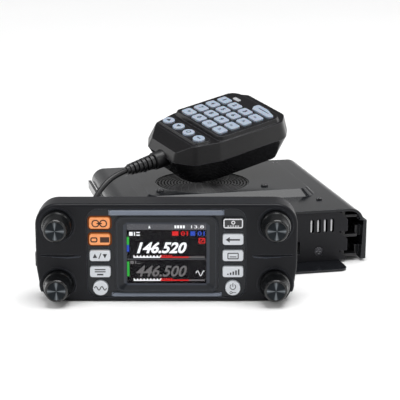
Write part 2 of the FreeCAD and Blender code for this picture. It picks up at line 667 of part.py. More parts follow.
def make_fascia():
    """The middle of the panel's face: the keys' surround and the window's sloping frame."""
    body = start_body("fascia")
    half, low, high = val("fascia_half") - 0.1, val("fascia_low") + 0.1, val("fascia_high") - 0.1
    add_pad(body, "XZ_Plane", "0.6", "2.4", [box_outline(-half, half, low, high, 5.9)])
    # bright lips above and below the window's frame
    lips = []
    for half_lip, outer_edge, inner_edge in ((30.5, high - 0.2, high - 3.2), (29.5, low + 0.3, low + 2.7)):
        lips.append([
            (-half_lip, outer_edge, 1.0), (1.5 - half_lip, inner_edge, 1.0),
            (half_lip - 1.5, inner_edge, 1.0), (half_lip, outer_edge, 1.0),
        ])
    add_pad(body, "XZ_Plane", "-0.2", "0.7", lips)
    outer = box_outline(-val("bezel_half"), val("bezel_half"), val("bezel_low"), val("bezel_high"), 4.5)
    add_pad(body, "XZ_Plane", "-1.0", "0.7", [outer])
    add_fillet(body, 0.5, lambda edge: flat_at(edge, "Y", -1.0))
    inner = box_outline(-val("glass_half"), val("glass_half"), val("glass_low"), val("glass_high"), 0.8)
    rim = val("bezel_half") - 1.4
    well = box_outline(-rim, rim, val("bezel_low") + 1.2, val("bezel_high") - 1.2, 3.2)
    add_loft(body, "XZ_Plane", "-1.05", "1.3", well, inner, "PartDesign::SubtractiveLoft")
    add_pocket(body, "XZ_Plane", "1.3", "3", [inner])
    columns = [side * val("button_x") for side in (-1, 1)]
    wells = [button_outline(x, button_level(step), 0.3) for x in columns for step in range(4)]
    add_pocket(body, "XZ_Plane", "-1", "3", wells)
    rounds = [(x, val("round_z"), "round_button+0.6") for x in columns]
    add_pocket(body, "XZ_Plane", "-1", "3", circles=rounds)
    keep("fascia", body, PANEL)


def make_display():
    """The window's glass and the display module behind it."""
    glass = start_body("display_glass")
    half, low, high = val("glass_half") - 0.1, val("glass_low") + 0.1, val("glass_high") - 0.1
    add_pad(glass, "XZ_Plane", "1.35", "2.3", [box_outline(-half, half, low, high, 0.7)])
    keep("display_glass", glass, PANEL)
    module = start_body("display_module")
    add_pad(module, "XZ_Plane", "2.5", "5.6", [box_outline(-half - 3, half + 3, low - 2, high + 2, 1.0)])
    keep("display_module", module, PANEL)


def make_panel_buttons():
    """Eight oblong buttons and two round ones, each with a flange behind the fascia."""
    for side, names in ((-1, LEFT_BUTTONS), (1, RIGHT_BUTTONS)):
        for step, name in enumerate(names):
            body = start_body(name)
            x, z = side * val("button_x"), button_level(step)
            add_pad(body, "XZ_Plane", "-button_proud", "3.2", [button_outline(x, z)])
            add_fillet(body, 0.35, lambda edge: flat_at(edge, "Y", -val("button_proud")))
            keep(name, body, PANEL)
    for side, name in ((-1, "band_button"), (1, "power_button")):
        body = start_body(name)
        spot = (side * val("button_x"), val("round_z"), "round_button")
        add_pad(body, "XZ_Plane", "-button_proud", "3.2", circles=[spot])
        add_fillet(body, 0.35, lambda edge: flat_at(edge, "Y", -val("button_proud")))
        keep(name, body, PANEL)


def make_knobs():
    """Four knobs: a broad foot, a tapered waist and a flat spun face; each is bored for its shaft."""
    foot, face, length = val("knob_foot") / 2, val("knob_face") / 2, val("knob_long")
    for name, (side, level) in KNOBS.items():
        body = start_body(name)
        outline = [
            (1.6, 0.6), (foot + 0.2, 0.6), (foot + 0.2, 3.4, 0.5), (foot - 0.4, 4.6, 1.0),
            (face + 0.3, length - 0.9, 1.0), (face - 0.5, length, 0.5), (face - 0.9, length - 0.35),
            (0.0, length - 0.35), (0.0, length - 4.0), (1.6, length - 4.0),
        ]
        turn = add_turn(body, outline)
        # the outline is turned about Z, then laid with its face towards the front
        lay = FreeCAD.Placement(V(side * val("knob_x"), 0, val(level)), FreeCAD.Rotation(V(1, 0, 0), 90))
        keep(name, body, PANEL.multiply(lay))


def make_panel_insides():
    """The knobs' encoders, with their shafts, and the panel's board behind the keys."""
    encoders = []
    for index, (x, z) in enumerate(knob_spots()):
        case = box_at("encoder_case%d" % index, (x - 4.4, 2.8, z - 4.4), (x + 4.4, 8.4, z + 4.4))
        nut = rod_at("encoder_nut%d" % index, (x, 1.1, z), (0, 1, 0), 6.6, 1.8)
        shaft = rod_at("encoder_shaft%d" % index, (x, 2.9, z), (0, -1, 0), 3.1, 10.6)
        encoders.append(join("MultiFuse", "encoder%d" % index, [case, nut, shaft]))
    keep("knob_encoders", join("Compound", "encoder_set", encoders), PANEL)
    board = start_body("panel_board")
    add_pad(board, "XZ_Plane", "8.6", "10.2", [box_outline(-62, 62, 4.5, 48, 2.0)])
    keep("panel_board", board, PANEL)


# ---------------------------------------------------------------- hand microphone

def mic_outline(grow, taper=0.0):
    """The microphone seen from its face: a square top end, and a cable end with broad chamfers."""
    return [
        (36.5 + grow - taper, -19.0 - grow / 2, 5.0), (36.5 + grow - taper, 19.0 + grow / 2, 5.0),
        (28.0 + grow / 2 - taper / 2, 28.0 + grow, 8.0), (-22.0, 28.5 + grow, 12.0),
        (-38.5 - grow / 2, 24.5 + grow, 6.0), (-46.5 - grow + taper, 13.5 + grow / 2, 4.0),
        (-46.5 - grow + taper, -13.5 - grow / 2, 4.0), (-38.5 - grow / 2, -24.5 - grow, 6.0),
        (-22.0, -28.5 - grow, 12.0), (28.0 + grow / 2 - taper / 2, -28.0 - grow, 8.0),
    ]


def mic_shoulder():
    """The outline of the front shell's flat shoulder round the keys, narrower at the cable end."""
    return [
        (34.4, -17.8, 4.5), (34.4, 17.8, 4.5), (26.6, 25.9, 7.0), (-20.0, 24.4, 8.0),
        (-35.5, 20.4, 5.0), (-42.2, 11.5, 3.0), (-42.2, -11.5, 3.0), (-35.5, -20.4, 5.0),
        (-20.0, -24.4, 8.0), (26.6, -25.9, 7.0),
    ]


def key_spots():
    """The sixteen keys of the pad, four rows of four."""
    return [(row * val("key_rows"), column * val("key_columns"))
            for row in (1.5, 0.5, -0.5, -1.5) for column in (-1.5, -0.5, 0.5, 1.5)]


def small_key_spots():
    return [(val("small_key_x"), step * val("small_key_pitch")) for step in (1.5, 0.5, -0.5, -1.5)]


def key_outline(x, y, grow=0.0):
    half_long, half_wide = val("key_long") / 2 + grow, val("key_wide") / 2 + grow
    return box_outline(x - half_long, x + half_long, y - half_wide, y + half_wide, 1.6 + grow)


def wide_key_outline(grow=0.0):
    """The long key under the top edge, bowed to follow the corner."""
    return [
        (19.6 - grow, -4.6 + grow, 1.5), (19.6 - grow, -20.0 - grow, 2.6), (23.4 + grow, -21.4 - grow, 1.5),
        (26.4 + grow, -11.5, 12.0), (26.4 + grow, -2.6 + grow, 1.8), (22.4, -2.6 + grow, 1.5),
    ]


def make_mic_shells():
    """The front shell with its raised key field, and the back shell."""
    front = start_body("mic_front_shell")
    add_loft(front, "XY_Plane", "seam+0.05", "-2.4", mic_outline(0.0), mic_shoulder())
    field = [(-19.8, -24.0, 3.0), (29.0, -24.4, 7.0), (29.0, 24.4, 7.0), (-19.8, 24.0, 3.0)]
    crown = [(x - 0.9 if x > 0 else x + 0.9, y * 0.965, r) for x, y, r in field]
    add_loft(front, "XY_Plane", "-2.6", "0", field, crown)
    ledge = [(-34.4, -19.6, 2.0), (-24.0, -21.4, 2.0), (-24.0, 21.4, 2.0), (-34.4, 19.6, 2.0)]
    ledge_top = [(x * 0.99, y * 0.975, r) for x, y, r in ledge]
    add_loft(front, "XY_Plane", "-2.6", "small_key_z", ledge, ledge_top)
    slope = [(-60.0, 2.0), (-33.6, 2.0), (-35.6, -1.9, 2.0), (-46.5, -8.4), (-60.0, -8.4)]
    add_pocket(front, "XZ_Plane", "-40", "40", [slope])
    add_pocket(front, "XY_Plane", "seam-1", "-6.2", [mic_outline(-4.6, 0.8)])
    add_pocket(front, "XY_Plane", "-7", "1", [key_outline(x, y, 0.25) for x, y in key_spots()])
    add_pocket(front, "XY_Plane", "-7", "1", [wide_key_outline(0.25)])
    small_holes = [(x, y, "small_key+0.5") for x, y in small_key_spots()]
    add_pocket(front, "XY_Plane", "-7", "1", circles=small_holes)
    add_pocket(front, "XY_Plane", "-7", "1", [box_outline(19.6, 22.8, 9.6, 16.0, 1.2)])
    add_pocket(front, "YZ_Plane", "-50", "-40", circles=[(0, val("boot_z"), 11.0)])
    talk = box_outline(-12.25, 17.25, -10.25, -4.75, 1.5)
    add_pocket(front, "XZ_Plane", "21.4", "32", [talk])
    keep("mic_front_shell", front, MIC)

    back = start_body("mic_back_shell")
    add_loft(back, "XY_Plane", "shell_back", "seam", mic_outline(-4.2, 3.4), mic_outline(0.0))
    add_pocket(back, "XY_Plane", "shell_back+2.2", "seam+1", [mic_outline(-6.4, 3.4)])
    add_pocket(back, "YZ_Plane", "-50", "-40", circles=[(0, val("boot_z"), 11.0)])
    keep("mic_back_shell", back, MIC)

    stud = start_body("hanger_stud")
    head = [(6.2, -35.6, 0.8), (6.2, -33.6, 0.8), (3.6, -32.4, 0.8)]
    add_turn(stud, [(0, -26.6), (0, -35.6)] + head + [(3.6, -26.6)])
    keep("hanger_stud", stud, MIC.multiply(FreeCAD.Placement(V(-5, 2, 0), FreeCAD.Rotation())))


def make_mic_keys():
    """The moulded pad of sixteen keys, the long key, four small keys, the lamp lens and the talk key."""
    pad = start_body("keypad")
    add_pad(pad, "XY_Plane", "-8.2", "-7.2", [box_outline(-19.0, 19.0, -21.5, 21.5, 2.0)])
    add_pad(pad, "XY_Plane", "-7.3", "key_proud", [key_outline(x, y) for x, y in key_spots()])
    add_fillet(pad, 0.5, lambda edge: flat_at(edge, "Z", val("key_proud")))
    keep("keypad", pad, MIC)
    wide = start_body("wide_key")
    add_pad(wide, "XY_Plane", "-7.2", "key_proud", [wide_key_outline()])
    add_fillet(wide, 0.5, lambda edge: flat_at(edge, "Z", val("key_proud")))
    keep("wide_key", wide, MIC)
    for index, (x, y) in enumerate(small_key_spots(), start=1):
        key = start_body("small_key_%d" % index)
        add_pad(key, "XY_Plane", "-7.2", "small_key_z+key_proud", circles=[(x, y, "small_key")])
        add_fillet(key, 0.5, lambda edge: flat_at(edge, "Z", val("small_key_z") + val("key_proud")))
        keep("small_key_%d" % index, key, MIC)
    lens = start_body("lamp_lens")
    add_pad(lens, "XY_Plane", "-5", "0.25", [box_outline(19.75, 22.65, 9.75, 15.85, 1.1)])
    keep("lamp_lens", lens, MIC)
    talk = start_body("talk_key")
    add_pad(talk, "XZ_Plane", "23.6", "30.6", [box_outline(-12, 17, -10, -5, 1.3)])
    add_fillet(talk, 0.8, lambda edge: flat_at(edge, "Y", 30.6))
    keep("talk_key", talk, MIC)


def make_mic_insides():
    """The microphone's board, with the talk switch, and the electret capsule."""
    board = start_body("mic_board")
    add_pad(board, "XY_Plane", "-12.4", "-10.8", [box_outline(-33, 27, -19, 19, 2.0)])
    keep("mic_board", board, MIC)
    capsule = rod_at("capsule_can", (-30.0, 12.0, -17.5), (0, 0, 1), 9.6, 5.0)
    keep("mic_capsule", capsule, MIC.multiply(capsule.Placement))


def make_boot():
    """The strain relief: a collar in the shell's cable end, then a ribbed taper that bends down a little."""
    body = start_body("strain_relief")
    outline = [(1.7, 43.0), (5.3, 43.0), (5.3, 52.0, 0.6)]
    height, radius = 52.0, 4.7
    for rib in range(6):
        outline += [(radius - 1.0, height), (radius - 1.0, height + 1.0), (radius - 0.1, height + 1.0)]
        height += 2.9
        radius -= 0.22
        outline += [(radius, height)]
    outline += [(2.6, height), (2.6, -val("boot_tip"), 0.5), (1.7, -val("boot_tip"))]
    add_turn(body, outline)
    # the outline's height runs out of the cable end, along -X of the microphone
    lay = FreeCAD.Placement(V(0, 0, val("boot_z")), FreeCAD.Rotation(V(0, 1, 0), -90))
    keep("strain_relief", body, MIC.multiply(lay))


# ---------------------------------------------------------------- the lead

def rounded_route(route):
    """Straight runs joined by tangent arcs, each as large as its two runs allow."""
    spots = [V(*p) for p in route]
    edges, radii, last = [], [], spots[0]
    for before, here, after in zip(spots, spots[1:], spots[2:]):
        inward, outward = (before - here), (after - here)
        turn = math.pi - inward.getAngle(outward)
        reach = 0.45 * min(inward.Length, outward.Length)
        radius = reach / math.tan(turn / 2)
        radii.append(radius)
        inward, outward = inward.normalize(), outward.normalize()
        bisector = (inward + outward).normalize()
        middle = here + bisector * (radius / math.cos(turn / 2) - radius)
        first = here + inward * reach
        edges.append(Part.LineSegment(last, first).toShape())
        last = here + outward * reach
        edges.append(Part.Arc(first, middle, last).toShape())
    edges.append(Part.LineSegment(last, spots[-1]).toShape())
    return Part.Wire(edges), radii


def tube(label, route, across):
    """A closed round tube along a route; prints its length and its least radius."""
    path, radii = rounded_route(route)
    start = path.Edges[0]
    middle, heading = start.valueAt(start.FirstParameter), start.tangentAt(start.FirstParameter)
    ring = Part.Circle(middle, heading, across / 2)
    shape = path.makePipeShell([Part.Wire(ring.toShape())], True, True)
    piece = doc.addObject("Part::Feature", label)
    piece.Shape = shape
    print("%s: length %.1f, least radius %.1f" % (label, path.Length, min(radii)))
    keep(label, piece)


# The route starts at the strain relief's mouth and ends in the plug's tail.
mouth = MIC.multVec(V(val("boot_tip") - 0.4, 0, val("boot_z")))
MOUTH = (mouth.x, mouth.y, mouth.z)
LEAD_DROP = [
    MOUTH, (-67.2, -13.6, 45.6), (-76.0, -19.4, 39.6), (-83.4, -25.2, 29.4), (-88.6, -30.6, 17.6),
    (-91.4, -36.8, 8.6), (-92.0, -44.0, 6.4), (-92.0, -50.0, 6.4),
]
LEAD_CURL = [
    (-92.0, -50.0, 6.4), (-92.0, -59.6, 6.4), (-84.6, -75.4, 6.4), (-69.6, -85.6, 6.4),
    (-50.7, -89.6, 6.4), (-31.0, -93.6, 6.4),
]
LEAD_TAIL = [
    (-31.0, -93.6, 6.4), (-22.6, -95.3, 6.4), (-12.0, -100.2, 6.6), (-0.9, -99.4, 7.8),
    (5.6, -91.5, 9.4), (6.0, -80.2, 9.8),
]


def make_lead():
    """The lead in three stretches, and the modular plug at its end."""
    tube("lead_drop", LEAD_DROP, val("lead_across"))
    tube("lead_curl", LEAD_CURL, val("curl_across"))
    tube("lead_tail", LEAD_TAIL, val("lead_across"))
    x, z = val("mic_jack_x"), val("jack_z")
    half_wide, half_tall = val("jack_wide") / 2 - 0.2, val("jack_tall") / 2 - 0.2
    front = -half_depth
    plug = start_body("modular_plug")
    block = box_outline(x - half_wide, x + half_wide, z - half_tall, z + half_tall, 0.4)
    add_pad(plug, "XZ_Plane", str(front - 9.0), str(front + 11.0), [block])
    add_pad(plug, "XZ_Plane", str(front - 18.0), str(front - 8.9), circles=[(x, z, 5.4)])
    add_pocket(plug, "XZ_Plane", str(front - 19.0), str(front - 14.0), circles=[(x, z, 4.2)])
    keep("modular_plug", plug)


# ---------------------------------------------------------------- build, check and write

for build in (
    make_top_cover, make_speaker_grille, make_front_plate, make_base_plate, make_chassis,
    make_rear_plate, make_screws,
    make_front_sockets, make_aerial_socket, make_power_inlet, make_rear_jacks, make_fan, make_unit_insides,
    make_panel_shells, make_fascia, make_display, make_panel_buttons, make_knobs, make_panel_insides,
    make_mic_shells, make_mic_keys, make_mic_insides, make_boot, make_lead,
):
    build()
make_side_wall("left_side_wall", -1)
make_side_wall("right_side_wall", 1)
doc.recompute()

for thing in doc.Objects:
    if any(word in thing.State for word in ("Invalid", "Error")):
        raise ValueError("%s (%s) is in state %s" % (thing.Name, thing.Label, thing.State))
os.makedirs("parts", exist_ok=True)
for label, piece in parts.items():
    shape = piece.Shape
    if shape.isNull() or not shape.isValid():
        raise ValueError(label + " has no valid shape")
    shape.exportStep(os.path.join("parts", label + ".step"))
print(len(parts), "sub-parts")
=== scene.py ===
import json
import math

import bmesh
import bpy
from mathutils import Matrix, Vector

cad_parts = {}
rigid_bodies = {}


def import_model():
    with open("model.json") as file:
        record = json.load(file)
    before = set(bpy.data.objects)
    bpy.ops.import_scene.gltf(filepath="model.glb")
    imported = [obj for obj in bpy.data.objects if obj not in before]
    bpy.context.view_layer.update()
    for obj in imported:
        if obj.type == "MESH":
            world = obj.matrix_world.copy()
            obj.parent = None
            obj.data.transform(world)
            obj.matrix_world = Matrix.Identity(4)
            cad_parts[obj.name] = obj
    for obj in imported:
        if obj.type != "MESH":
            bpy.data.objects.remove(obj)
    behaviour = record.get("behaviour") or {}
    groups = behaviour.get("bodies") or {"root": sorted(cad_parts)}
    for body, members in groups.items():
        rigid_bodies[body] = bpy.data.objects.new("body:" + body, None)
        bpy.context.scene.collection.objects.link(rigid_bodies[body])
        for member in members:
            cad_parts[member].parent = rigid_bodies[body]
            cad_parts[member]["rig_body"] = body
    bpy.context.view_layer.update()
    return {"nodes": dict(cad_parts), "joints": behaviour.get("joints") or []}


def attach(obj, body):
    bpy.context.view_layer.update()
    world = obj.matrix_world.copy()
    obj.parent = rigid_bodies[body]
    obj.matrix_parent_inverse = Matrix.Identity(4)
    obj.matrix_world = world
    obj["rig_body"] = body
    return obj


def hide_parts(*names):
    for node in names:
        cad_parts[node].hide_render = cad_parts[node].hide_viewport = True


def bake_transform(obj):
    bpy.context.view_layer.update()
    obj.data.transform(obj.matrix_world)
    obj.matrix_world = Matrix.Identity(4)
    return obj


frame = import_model()
scene = bpy.context.scene
scene.view_settings.view_transform = "Standard"
joints = {joint["name"]: joint for joint in frame["joints"]}

mm = 0.001

# ---------------------------------------------------------------- camera

CAMERA_AT = Vector((-0.1841, -0.7816, 0.2292))
CAMERA_TURN = math.radians(12.39)
CAMERA_DIP = math.radians(14.36)
CAMERA_LENS = 121.95
SENSOR_WIDTH = 36.0


def make_camera():
    """Looks straight at the control panel's face, from above; a narrow lens 0.8 m away."""
    data = bpy.data.cameras.new("camera")
    data.sensor_width = SENSOR_WIDTH
    data.lens = CAMERA_LENS
    data.clip_start = 0.05
    data.clip_end = 20.0
    camera = bpy.data.objects.new("camera", data)
    scene.collection.objects.link(camera)
    level = math.cos(CAMERA_DIP)
    ahead = Vector((math.sin(CAMERA_TURN) * level, math.cos(CAMERA_TURN) * level, -math.sin(CAMERA_DIP)))
    camera.location = CAMERA_AT
    camera.rotation_mode = "QUATERNION"
    camera.rotation_quaternion = ahead.to_track_quat("-Z", "Y")
    scene.camera = camera


make_camera()


# ---------------------------------------------------------------- the lead

LEAD_ACROSS = 3.3 * mm
CURL_ACROSS = 12.0 * mm
CURL_PITCH = 3.45 * mm
CURL_STEPS = 14            # points to a turn
CURL_OPENS_OVER = 1.2      # turns over which each end of the curl widens from the plain lead
LEAD_DROP = [
    (-59.53, -8.96, 46.96), (-67.2, -13.6, 45.6), (-76.0, -19.4, 39.6), (-83.4, -25.2, 29.4),
    (-88.6, -30.6, 17.6), (-91.4, -36.8, 8.6), (-92.0, -44.0, 6.4),
]
LEAD_CURL = [
    (-92.0, -50.0, 6.4), (-92.0, -59.6, 6.4), (-84.6, -75.4, 6.4), (-69.6, -85.6, 6.4), (-50.7, -89.6, 6.4),
    (-31.0, -93.6, 6.4),
]
LEAD_TAIL = [
    (-22.6, -95.3, 6.4), (-12.0, -100.2, 6.6), (-0.9, -99.4, 7.8), (5.6, -91.5, 9.4), (6.0, -80.2, 9.8),
]


def nurbs(name, points, resolution=12):
    """A curve object of one open NURBS spline through the row frame."""
    data = bpy.data.curves.new(name, "CURVE")
    data.dimensions = "3D"
    data.resolution_u = resolution
    spline = data.splines.new("NURBS")
    spline.points.add(len(points) - 1)
    for control, place in zip(spline.points, points):
        control.co = (*place, 1.0)
    spline.order_u = 3
    spline.use_endpoint_u = True
    curve = bpy.data.objects.new(name, data)
    scene.collection.objects.link(curve)
    return curve


def mesh_of(holder):
    """The mesh that a curve or text object makes."""
    bpy.context.view_layer.update()
    return bpy.data.meshes.new_from_object(holder.evaluated_get(bpy.context.evaluated_depsgraph_get()))


def centre_line(curve):
    """The points of a curve's own line."""
    line = mesh_of(curve)
    points = [vertex.co.copy() for vertex in line.vertices]
    bpy.data.meshes.remove(line)
    return points


def helix_along(line, across, pitch, steps):
    """A close coil round a line, which starts and ends on it."""
    lengths = [0.0]
    for before, after in zip(line, line[1:]):
        lengths.append(lengths[-1] + (after - before).length)
    whole = lengths[-1]
    count = round(whole / pitch) * steps
    points = []
    segment = 0
    for step in range(count + 1):
        reach = whole * step / count
        while segment < len(line) - 2 and lengths[segment + 1] < reach:
            segment += 1
        share = (reach - lengths[segment]) / max(lengths[segment + 1] - lengths[segment], 1e-9)
        centre = line[segment].lerp(line[segment + 1], share)
        ahead = (line[segment + 1] - line[segment]).normalized()
        side = ahead.cross(Vector((0, 0, 1))).normalized()
        up = side.cross(ahead)
        opening = CURL_OPENS_OVER * pitch
        ends = min(1.0, reach / opening, (whole - reach) / opening)
        swell = across / 2 * math.sin(ends * math.pi / 2)
        angle = 2 * math.pi * step / steps
        points.append(centre + side * math.cos(angle) * swell + up * math.sin(angle) * swell)
    return points


def make_lead():
    """The microphone's lead: a plain drop, a curled middle on the surface and a plain end into the unit."""
    drop, curl, tail = ([Vector(point) * mm for point in route]
                        for route in (LEAD_DROP, LEAD_CURL, LEAD_TAIL))
    guide = nurbs("curl_guide", curl)
    coil = helix_along(centre_line(guide), CURL_ACROSS - LEAD_ACROSS, CURL_PITCH, CURL_STEPS)
    bpy.data.objects.remove(guide)
    curve = nurbs("lead_line", drop + coil + tail, resolution=4)
    path = centre_line(curve)
    curve.data.bevel_depth = LEAD_ACROSS / 2
    curve.data.bevel_resolution = 4
    curve.data.use_fill_caps = True
    tube = mesh_of(curve)
    bpy.data.objects.remove(curve)
    lead = bpy.data.objects.new("microphone_lead", tube)
    scene.collection.objects.link(lead)
    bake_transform(lead)
    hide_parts("lead_drop", "lead_curl", "lead_tail")
    return lead


lead = make_lead()


# ---------------------------------------------------------------- local axes

def extent(places):
    """The lowest and the highest of some places, axis by axis."""
    return [Vector(pick(place[k] for place in places) for k in range(3)) for pick in (min, max)]


class Group:
    """Local axes of a group of CAD nodes, in metres: its trim is laid out in them."""

    def __init__(self, across, back, up):
        self.axes = Matrix((across, back, up)).transposed()
        self.origin = Vector((0, 0, 0))

    def span(self, node):
        """The lowest and highest local coordinates of a node."""
        back = self.axes.transposed()
        return extent([back @ (vertex.co - self.origin) for vertex in frame["nodes"][node].data.vertices])

    def settle(self, x, y, z):
        """Moves the origin to a place given in the present local axes."""
        self.origin = self.origin + self.axes @ Vector((x, y, z))


UP = Vector((0, 0, 1))
unit = Group(Vector((1, 0, 0)), Vector((0, 1, 0)), UP)

panel = Group(-Vector(joints["card_cap_pull"]["axis"]), Vector(joints["mode_button_press"]["axis"]), UP)
low, high = panel.span("panel_front_shell")
panel.settle((low.x + high.x) / 2, low.y, low.z)

mic_back = -Vector(joints["talk_key_press"]["axis"])
mic_out = -Vector(joints["keypad_press"]["axis"])
mic = Group(mic_back.cross(mic_out), mic_back, mic_out)
low, high = mic.span("keypad")
KEY_PROUD = 1.1 * mm       # how far the keys stand out of the microphone's face
mic.settle((low.x + high.x) / 2, (low.y + high.y) / 2, high.z - KEY_PROUD)


class Face:
    """A flat face of a group, seen upright: u to the right, v up and w out of the face."""

    def __init__(self, group, right, above, out):
        self.group = group
        self.turn = Matrix((right, above, out)).transposed()

    def to_row(self, u, v, w):
        """A place given as (u, v, w), in the row frame."""
        return self.group.origin + self.group.axes @ (self.turn @ Vector((u, v, w)))

    def places(self, node):
        """A node's vertices as (u, v, w)."""
        back = (self.group.axes @ self.turn).transposed()
        return [back @ (vertex.co - self.group.origin) for vertex in frame["nodes"][node].data.vertices]

    def span(self, node):
        """A node's lowest and highest u, v and w."""
        return extent(self.places(node))

    def middle(self, node):
        """The (u, v) in the middle of a node."""
        low, high = self.span(node)
        return (low.x + high.x) / 2, (low.y + high.y) / 2


panel_face = Face(panel, (1, 0, 0), (0, 0, 1), (0, -1, 0))
mic_face = Face(mic, (0, -1, 0), (1, 0, 0), (0, 0, 1))
unit_front = Face(unit, (1, 0, 0), (0, 0, 1), (0, -1, 0))
unit_top = Face(unit, (1, 0, 0), (0, 1, 0), (0, 0, 1))


# ---------------------------------------------------------------- flat outlines, as lists of (u, v)

SHARPEST = 0.02 * mm       # the least corner radius of a border's inner outline


def bar(left, low, right, high):
    return [(left, low), (right, low), (right, high), (left, high)]


def rounded(middle, size, radius, steps=5):
    """A rectangle with round corners."""
    outline = []
    for quarter, (sx, sy) in enumerate(((1, 1), (-1, 1), (-1, -1), (1, -1))):
        cx = middle[0] + sx * (size[0] / 2 - radius)
        cy = middle[1] + sy * (size[1] / 2 - radius)
        for step in range(steps + 1):
            angle = math.pi / 2 * (quarter + step / steps)
            outline.append((cx + radius * math.cos(angle), cy + radius * math.sin(angle)))
    return outline


def band(outer, inner):
    """The strip between two outlines that have as many points as each other, as four-sided pieces."""
    count = len(outer)
    return [[outer[k], outer[(k + 1) % count], inner[(k + 1) % count], inner[k]] for k in range(count)]


def frame_of(middle, size, radius, width):
    """A rounded rectangle's border."""
    outer = rounded(middle, size, radius)
    inner = rounded(middle, (size[0] - 2 * width, size[1] - 2 * width), max(radius - width, SHARPEST))
    return band(outer, inner)


def arc(middle, radius, width, start, end, steps=16):
    """A round stroke between two angles in degrees."""
    pieces = []
    turns = [math.radians(start + (end - start) * k / steps) for k in range(steps + 1)]
    inner, outer = radius - width / 2, radius + width / 2
    for one, two in zip(turns, turns[1:]):
        pieces.append([(middle[0] + r * math.cos(a), middle[1] + r * math.sin(a))
                       for r, a in ((inner, one), (outer, one), (outer, two), (inner, two))])
    return pieces


def stroke(points, width):
    """A line of straight strokes."""
    pieces = []
    for (ax, ay), (bx, by) in zip(points, points[1:]):
        run = math.hypot(bx - ax, by - ay)
        nx, ny = -(by - ay) / run * width / 2, (bx - ax) / run * width / 2
        pieces.append([(ax - nx, ay - ny), (bx - nx, by - ny), (bx + nx, by + ny), (ax + nx, ay + ny)])
    return pieces


def shifted(outlines, middle, size=1.0):
    """The same outlines, moved to a middle and scaled."""
    return [[(middle[0] + u * size, middle[1] + v * size) for u, v in outline] for outline in outlines]


def figures(text, left, low, wide, tall, slant=0.0, bold=0.0):
    """Numerals fitted to a box, as outlines of flat triangles."""
    data = bpy.data.curves.new("figures", "FONT")
    data.body = text
    data.size = 1.0
    data.shear = slant
    data.offset = bold
    data.resolution_u = 3
    holder = bpy.data.objects.new("figures", data)
    scene.collection.objects.link(holder)
    mesh = mesh_of(holder)
    bpy.data.objects.remove(holder)
    xs = [vertex.co.x for vertex in mesh.vertices]
    ys = [vertex.co.y for vertex in mesh.vertices]
    across, height = wide / (max(xs) - min(xs)), tall / (max(ys) - min(ys))
    places = [(left + (vertex.co.x - min(xs)) * across, low + (vertex.co.y - min(ys)) * height)
              for vertex in mesh.vertices]
    outlines = [[places[k] for k in polygon.vertices] for polygon in mesh.polygons]
    bpy.data.meshes.remove(mesh)
    return outlines


# ---------------------------------------------------------------- pieces

def add_piece(name, vertices, faces, material, body, smooth=False):
    """A mesh piece given in the row frame, riding on a CAD body."""
    mesh = bpy.data.meshes.new(name)
    mesh.from_pydata([tuple(vertex) for vertex in vertices], [], faces)
    mesh.validate()
    work = bmesh.new()
    work.from_mesh(mesh)
    bmesh.ops.remove_doubles(work, verts=work.verts, dist=1e-7)
    bmesh.ops.recalc_face_normals(work, faces=work.faces)
    work.to_mesh(mesh)
    work.free()
    mesh.materials.append(material)
    for polygon in mesh.polygons:
        polygon.use_smooth = smooth
    piece = bpy.data.objects.new(name, mesh)
    scene.collection.objects.link(piece)
    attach(piece, body)
    return piece


def printed(name, face, outlines, level, material, body):
    """Flat print on a face, a hair above it."""
    vertices, faces = [], []
    for outline in outlines:
        faces.append(list(range(len(vertices), len(vertices) + len(outline))))
        vertices += [face.to_row(u, v, level) for u, v in outline]
    return add_piece(name, vertices, faces, material, body)


def skin_over(sections, closed):
    """A skin over outlines that have as many points as each other; closed joins the last one to the first."""
    count = len(sections[0])
    vertices = [point for section in sections for point in section]
    faces = []
    for here in range(len(sections) if closed else len(sections) - 1):
        there = (here + 1) % len(sections)
        for k in range(count):
            following = (k + 1) % count
            faces.append([here * count + k, there * count + k,
                          there * count + following, here * count + following])
    if not closed:
        faces.append(list(reversed(range(count))))
        faces.append([(len(sections) - 1) * count + k for k in range(count)])
    return vertices, faces


def swept(name, face, middle, profiles, material, body, start=0.0, end=360.0, steps=96):
    """Round relief: each profile of (radius, w) is carried round a middle, from start to end in degrees."""
    vertices, faces = [], []
    whole = end - start >= 360
    for profile in profiles:
        sections = []
        for step in range(steps if whole else steps + 1):
            angle = math.radians(start + (end - start) * step / steps)
            across, along = math.cos(angle), math.sin(angle)
            sections.append([face.to_row(middle[0] + radius * across, middle[1] + radius * along, w)
                             for radius, w in profile])
        more, skin = skin_over(sections, whole)
        faces += [[len(vertices) + k for k in corners] for corners in skin]
        vertices += more
    return add_piece(name, vertices, faces, material, body)


def raised(name, face, outlines, bottom, top, material, body, draft=0.0):
    """Solid relief on a face; its top is drawn in by the draft, which gives it a bevelled edge."""
    vertices, faces = [], []
    for outline in outlines:
        count = len(outline)
        cu = sum(u for u, v in outline) / count
        cv = sum(v for u, v in outline) / count
        start = len(vertices)
        for level, pull in ((bottom, 0.0), (top - draft, 0.0), (top, draft)):
            for u, v in outline:
                reach = max(math.hypot(u - cu, v - cv), 1e-9)
                vertices.append(face.to_row(u + (cu - u) * pull / reach, v + (cv - v) * pull / reach, level))
        for ring in range(2):
            for k in range(count):
                a, b = start + ring * count + k, start + ring * count + (k + 1) % count
                faces.append([a, b, b + count, a + count])
        faces.append([start + k for k in reversed(range(count))])
        faces.append([start + 2 * count + k for k in range(count)])
    return add_piece(name, vertices, faces, material, body)


# ---------------------------------------------------------------- materials

def new_material(name):
    material = bpy.data.materials.new(name)
    material.use_nodes = True
    return material, material.node_tree.nodes, material.node_tree.links


def set_sockets(shader, **sockets):
    """Sets the shader's own sockets, named with _ for each space."""
    for socket, value in sockets.items():
        shader.inputs[socket.replace("_", " ")].default_value = value


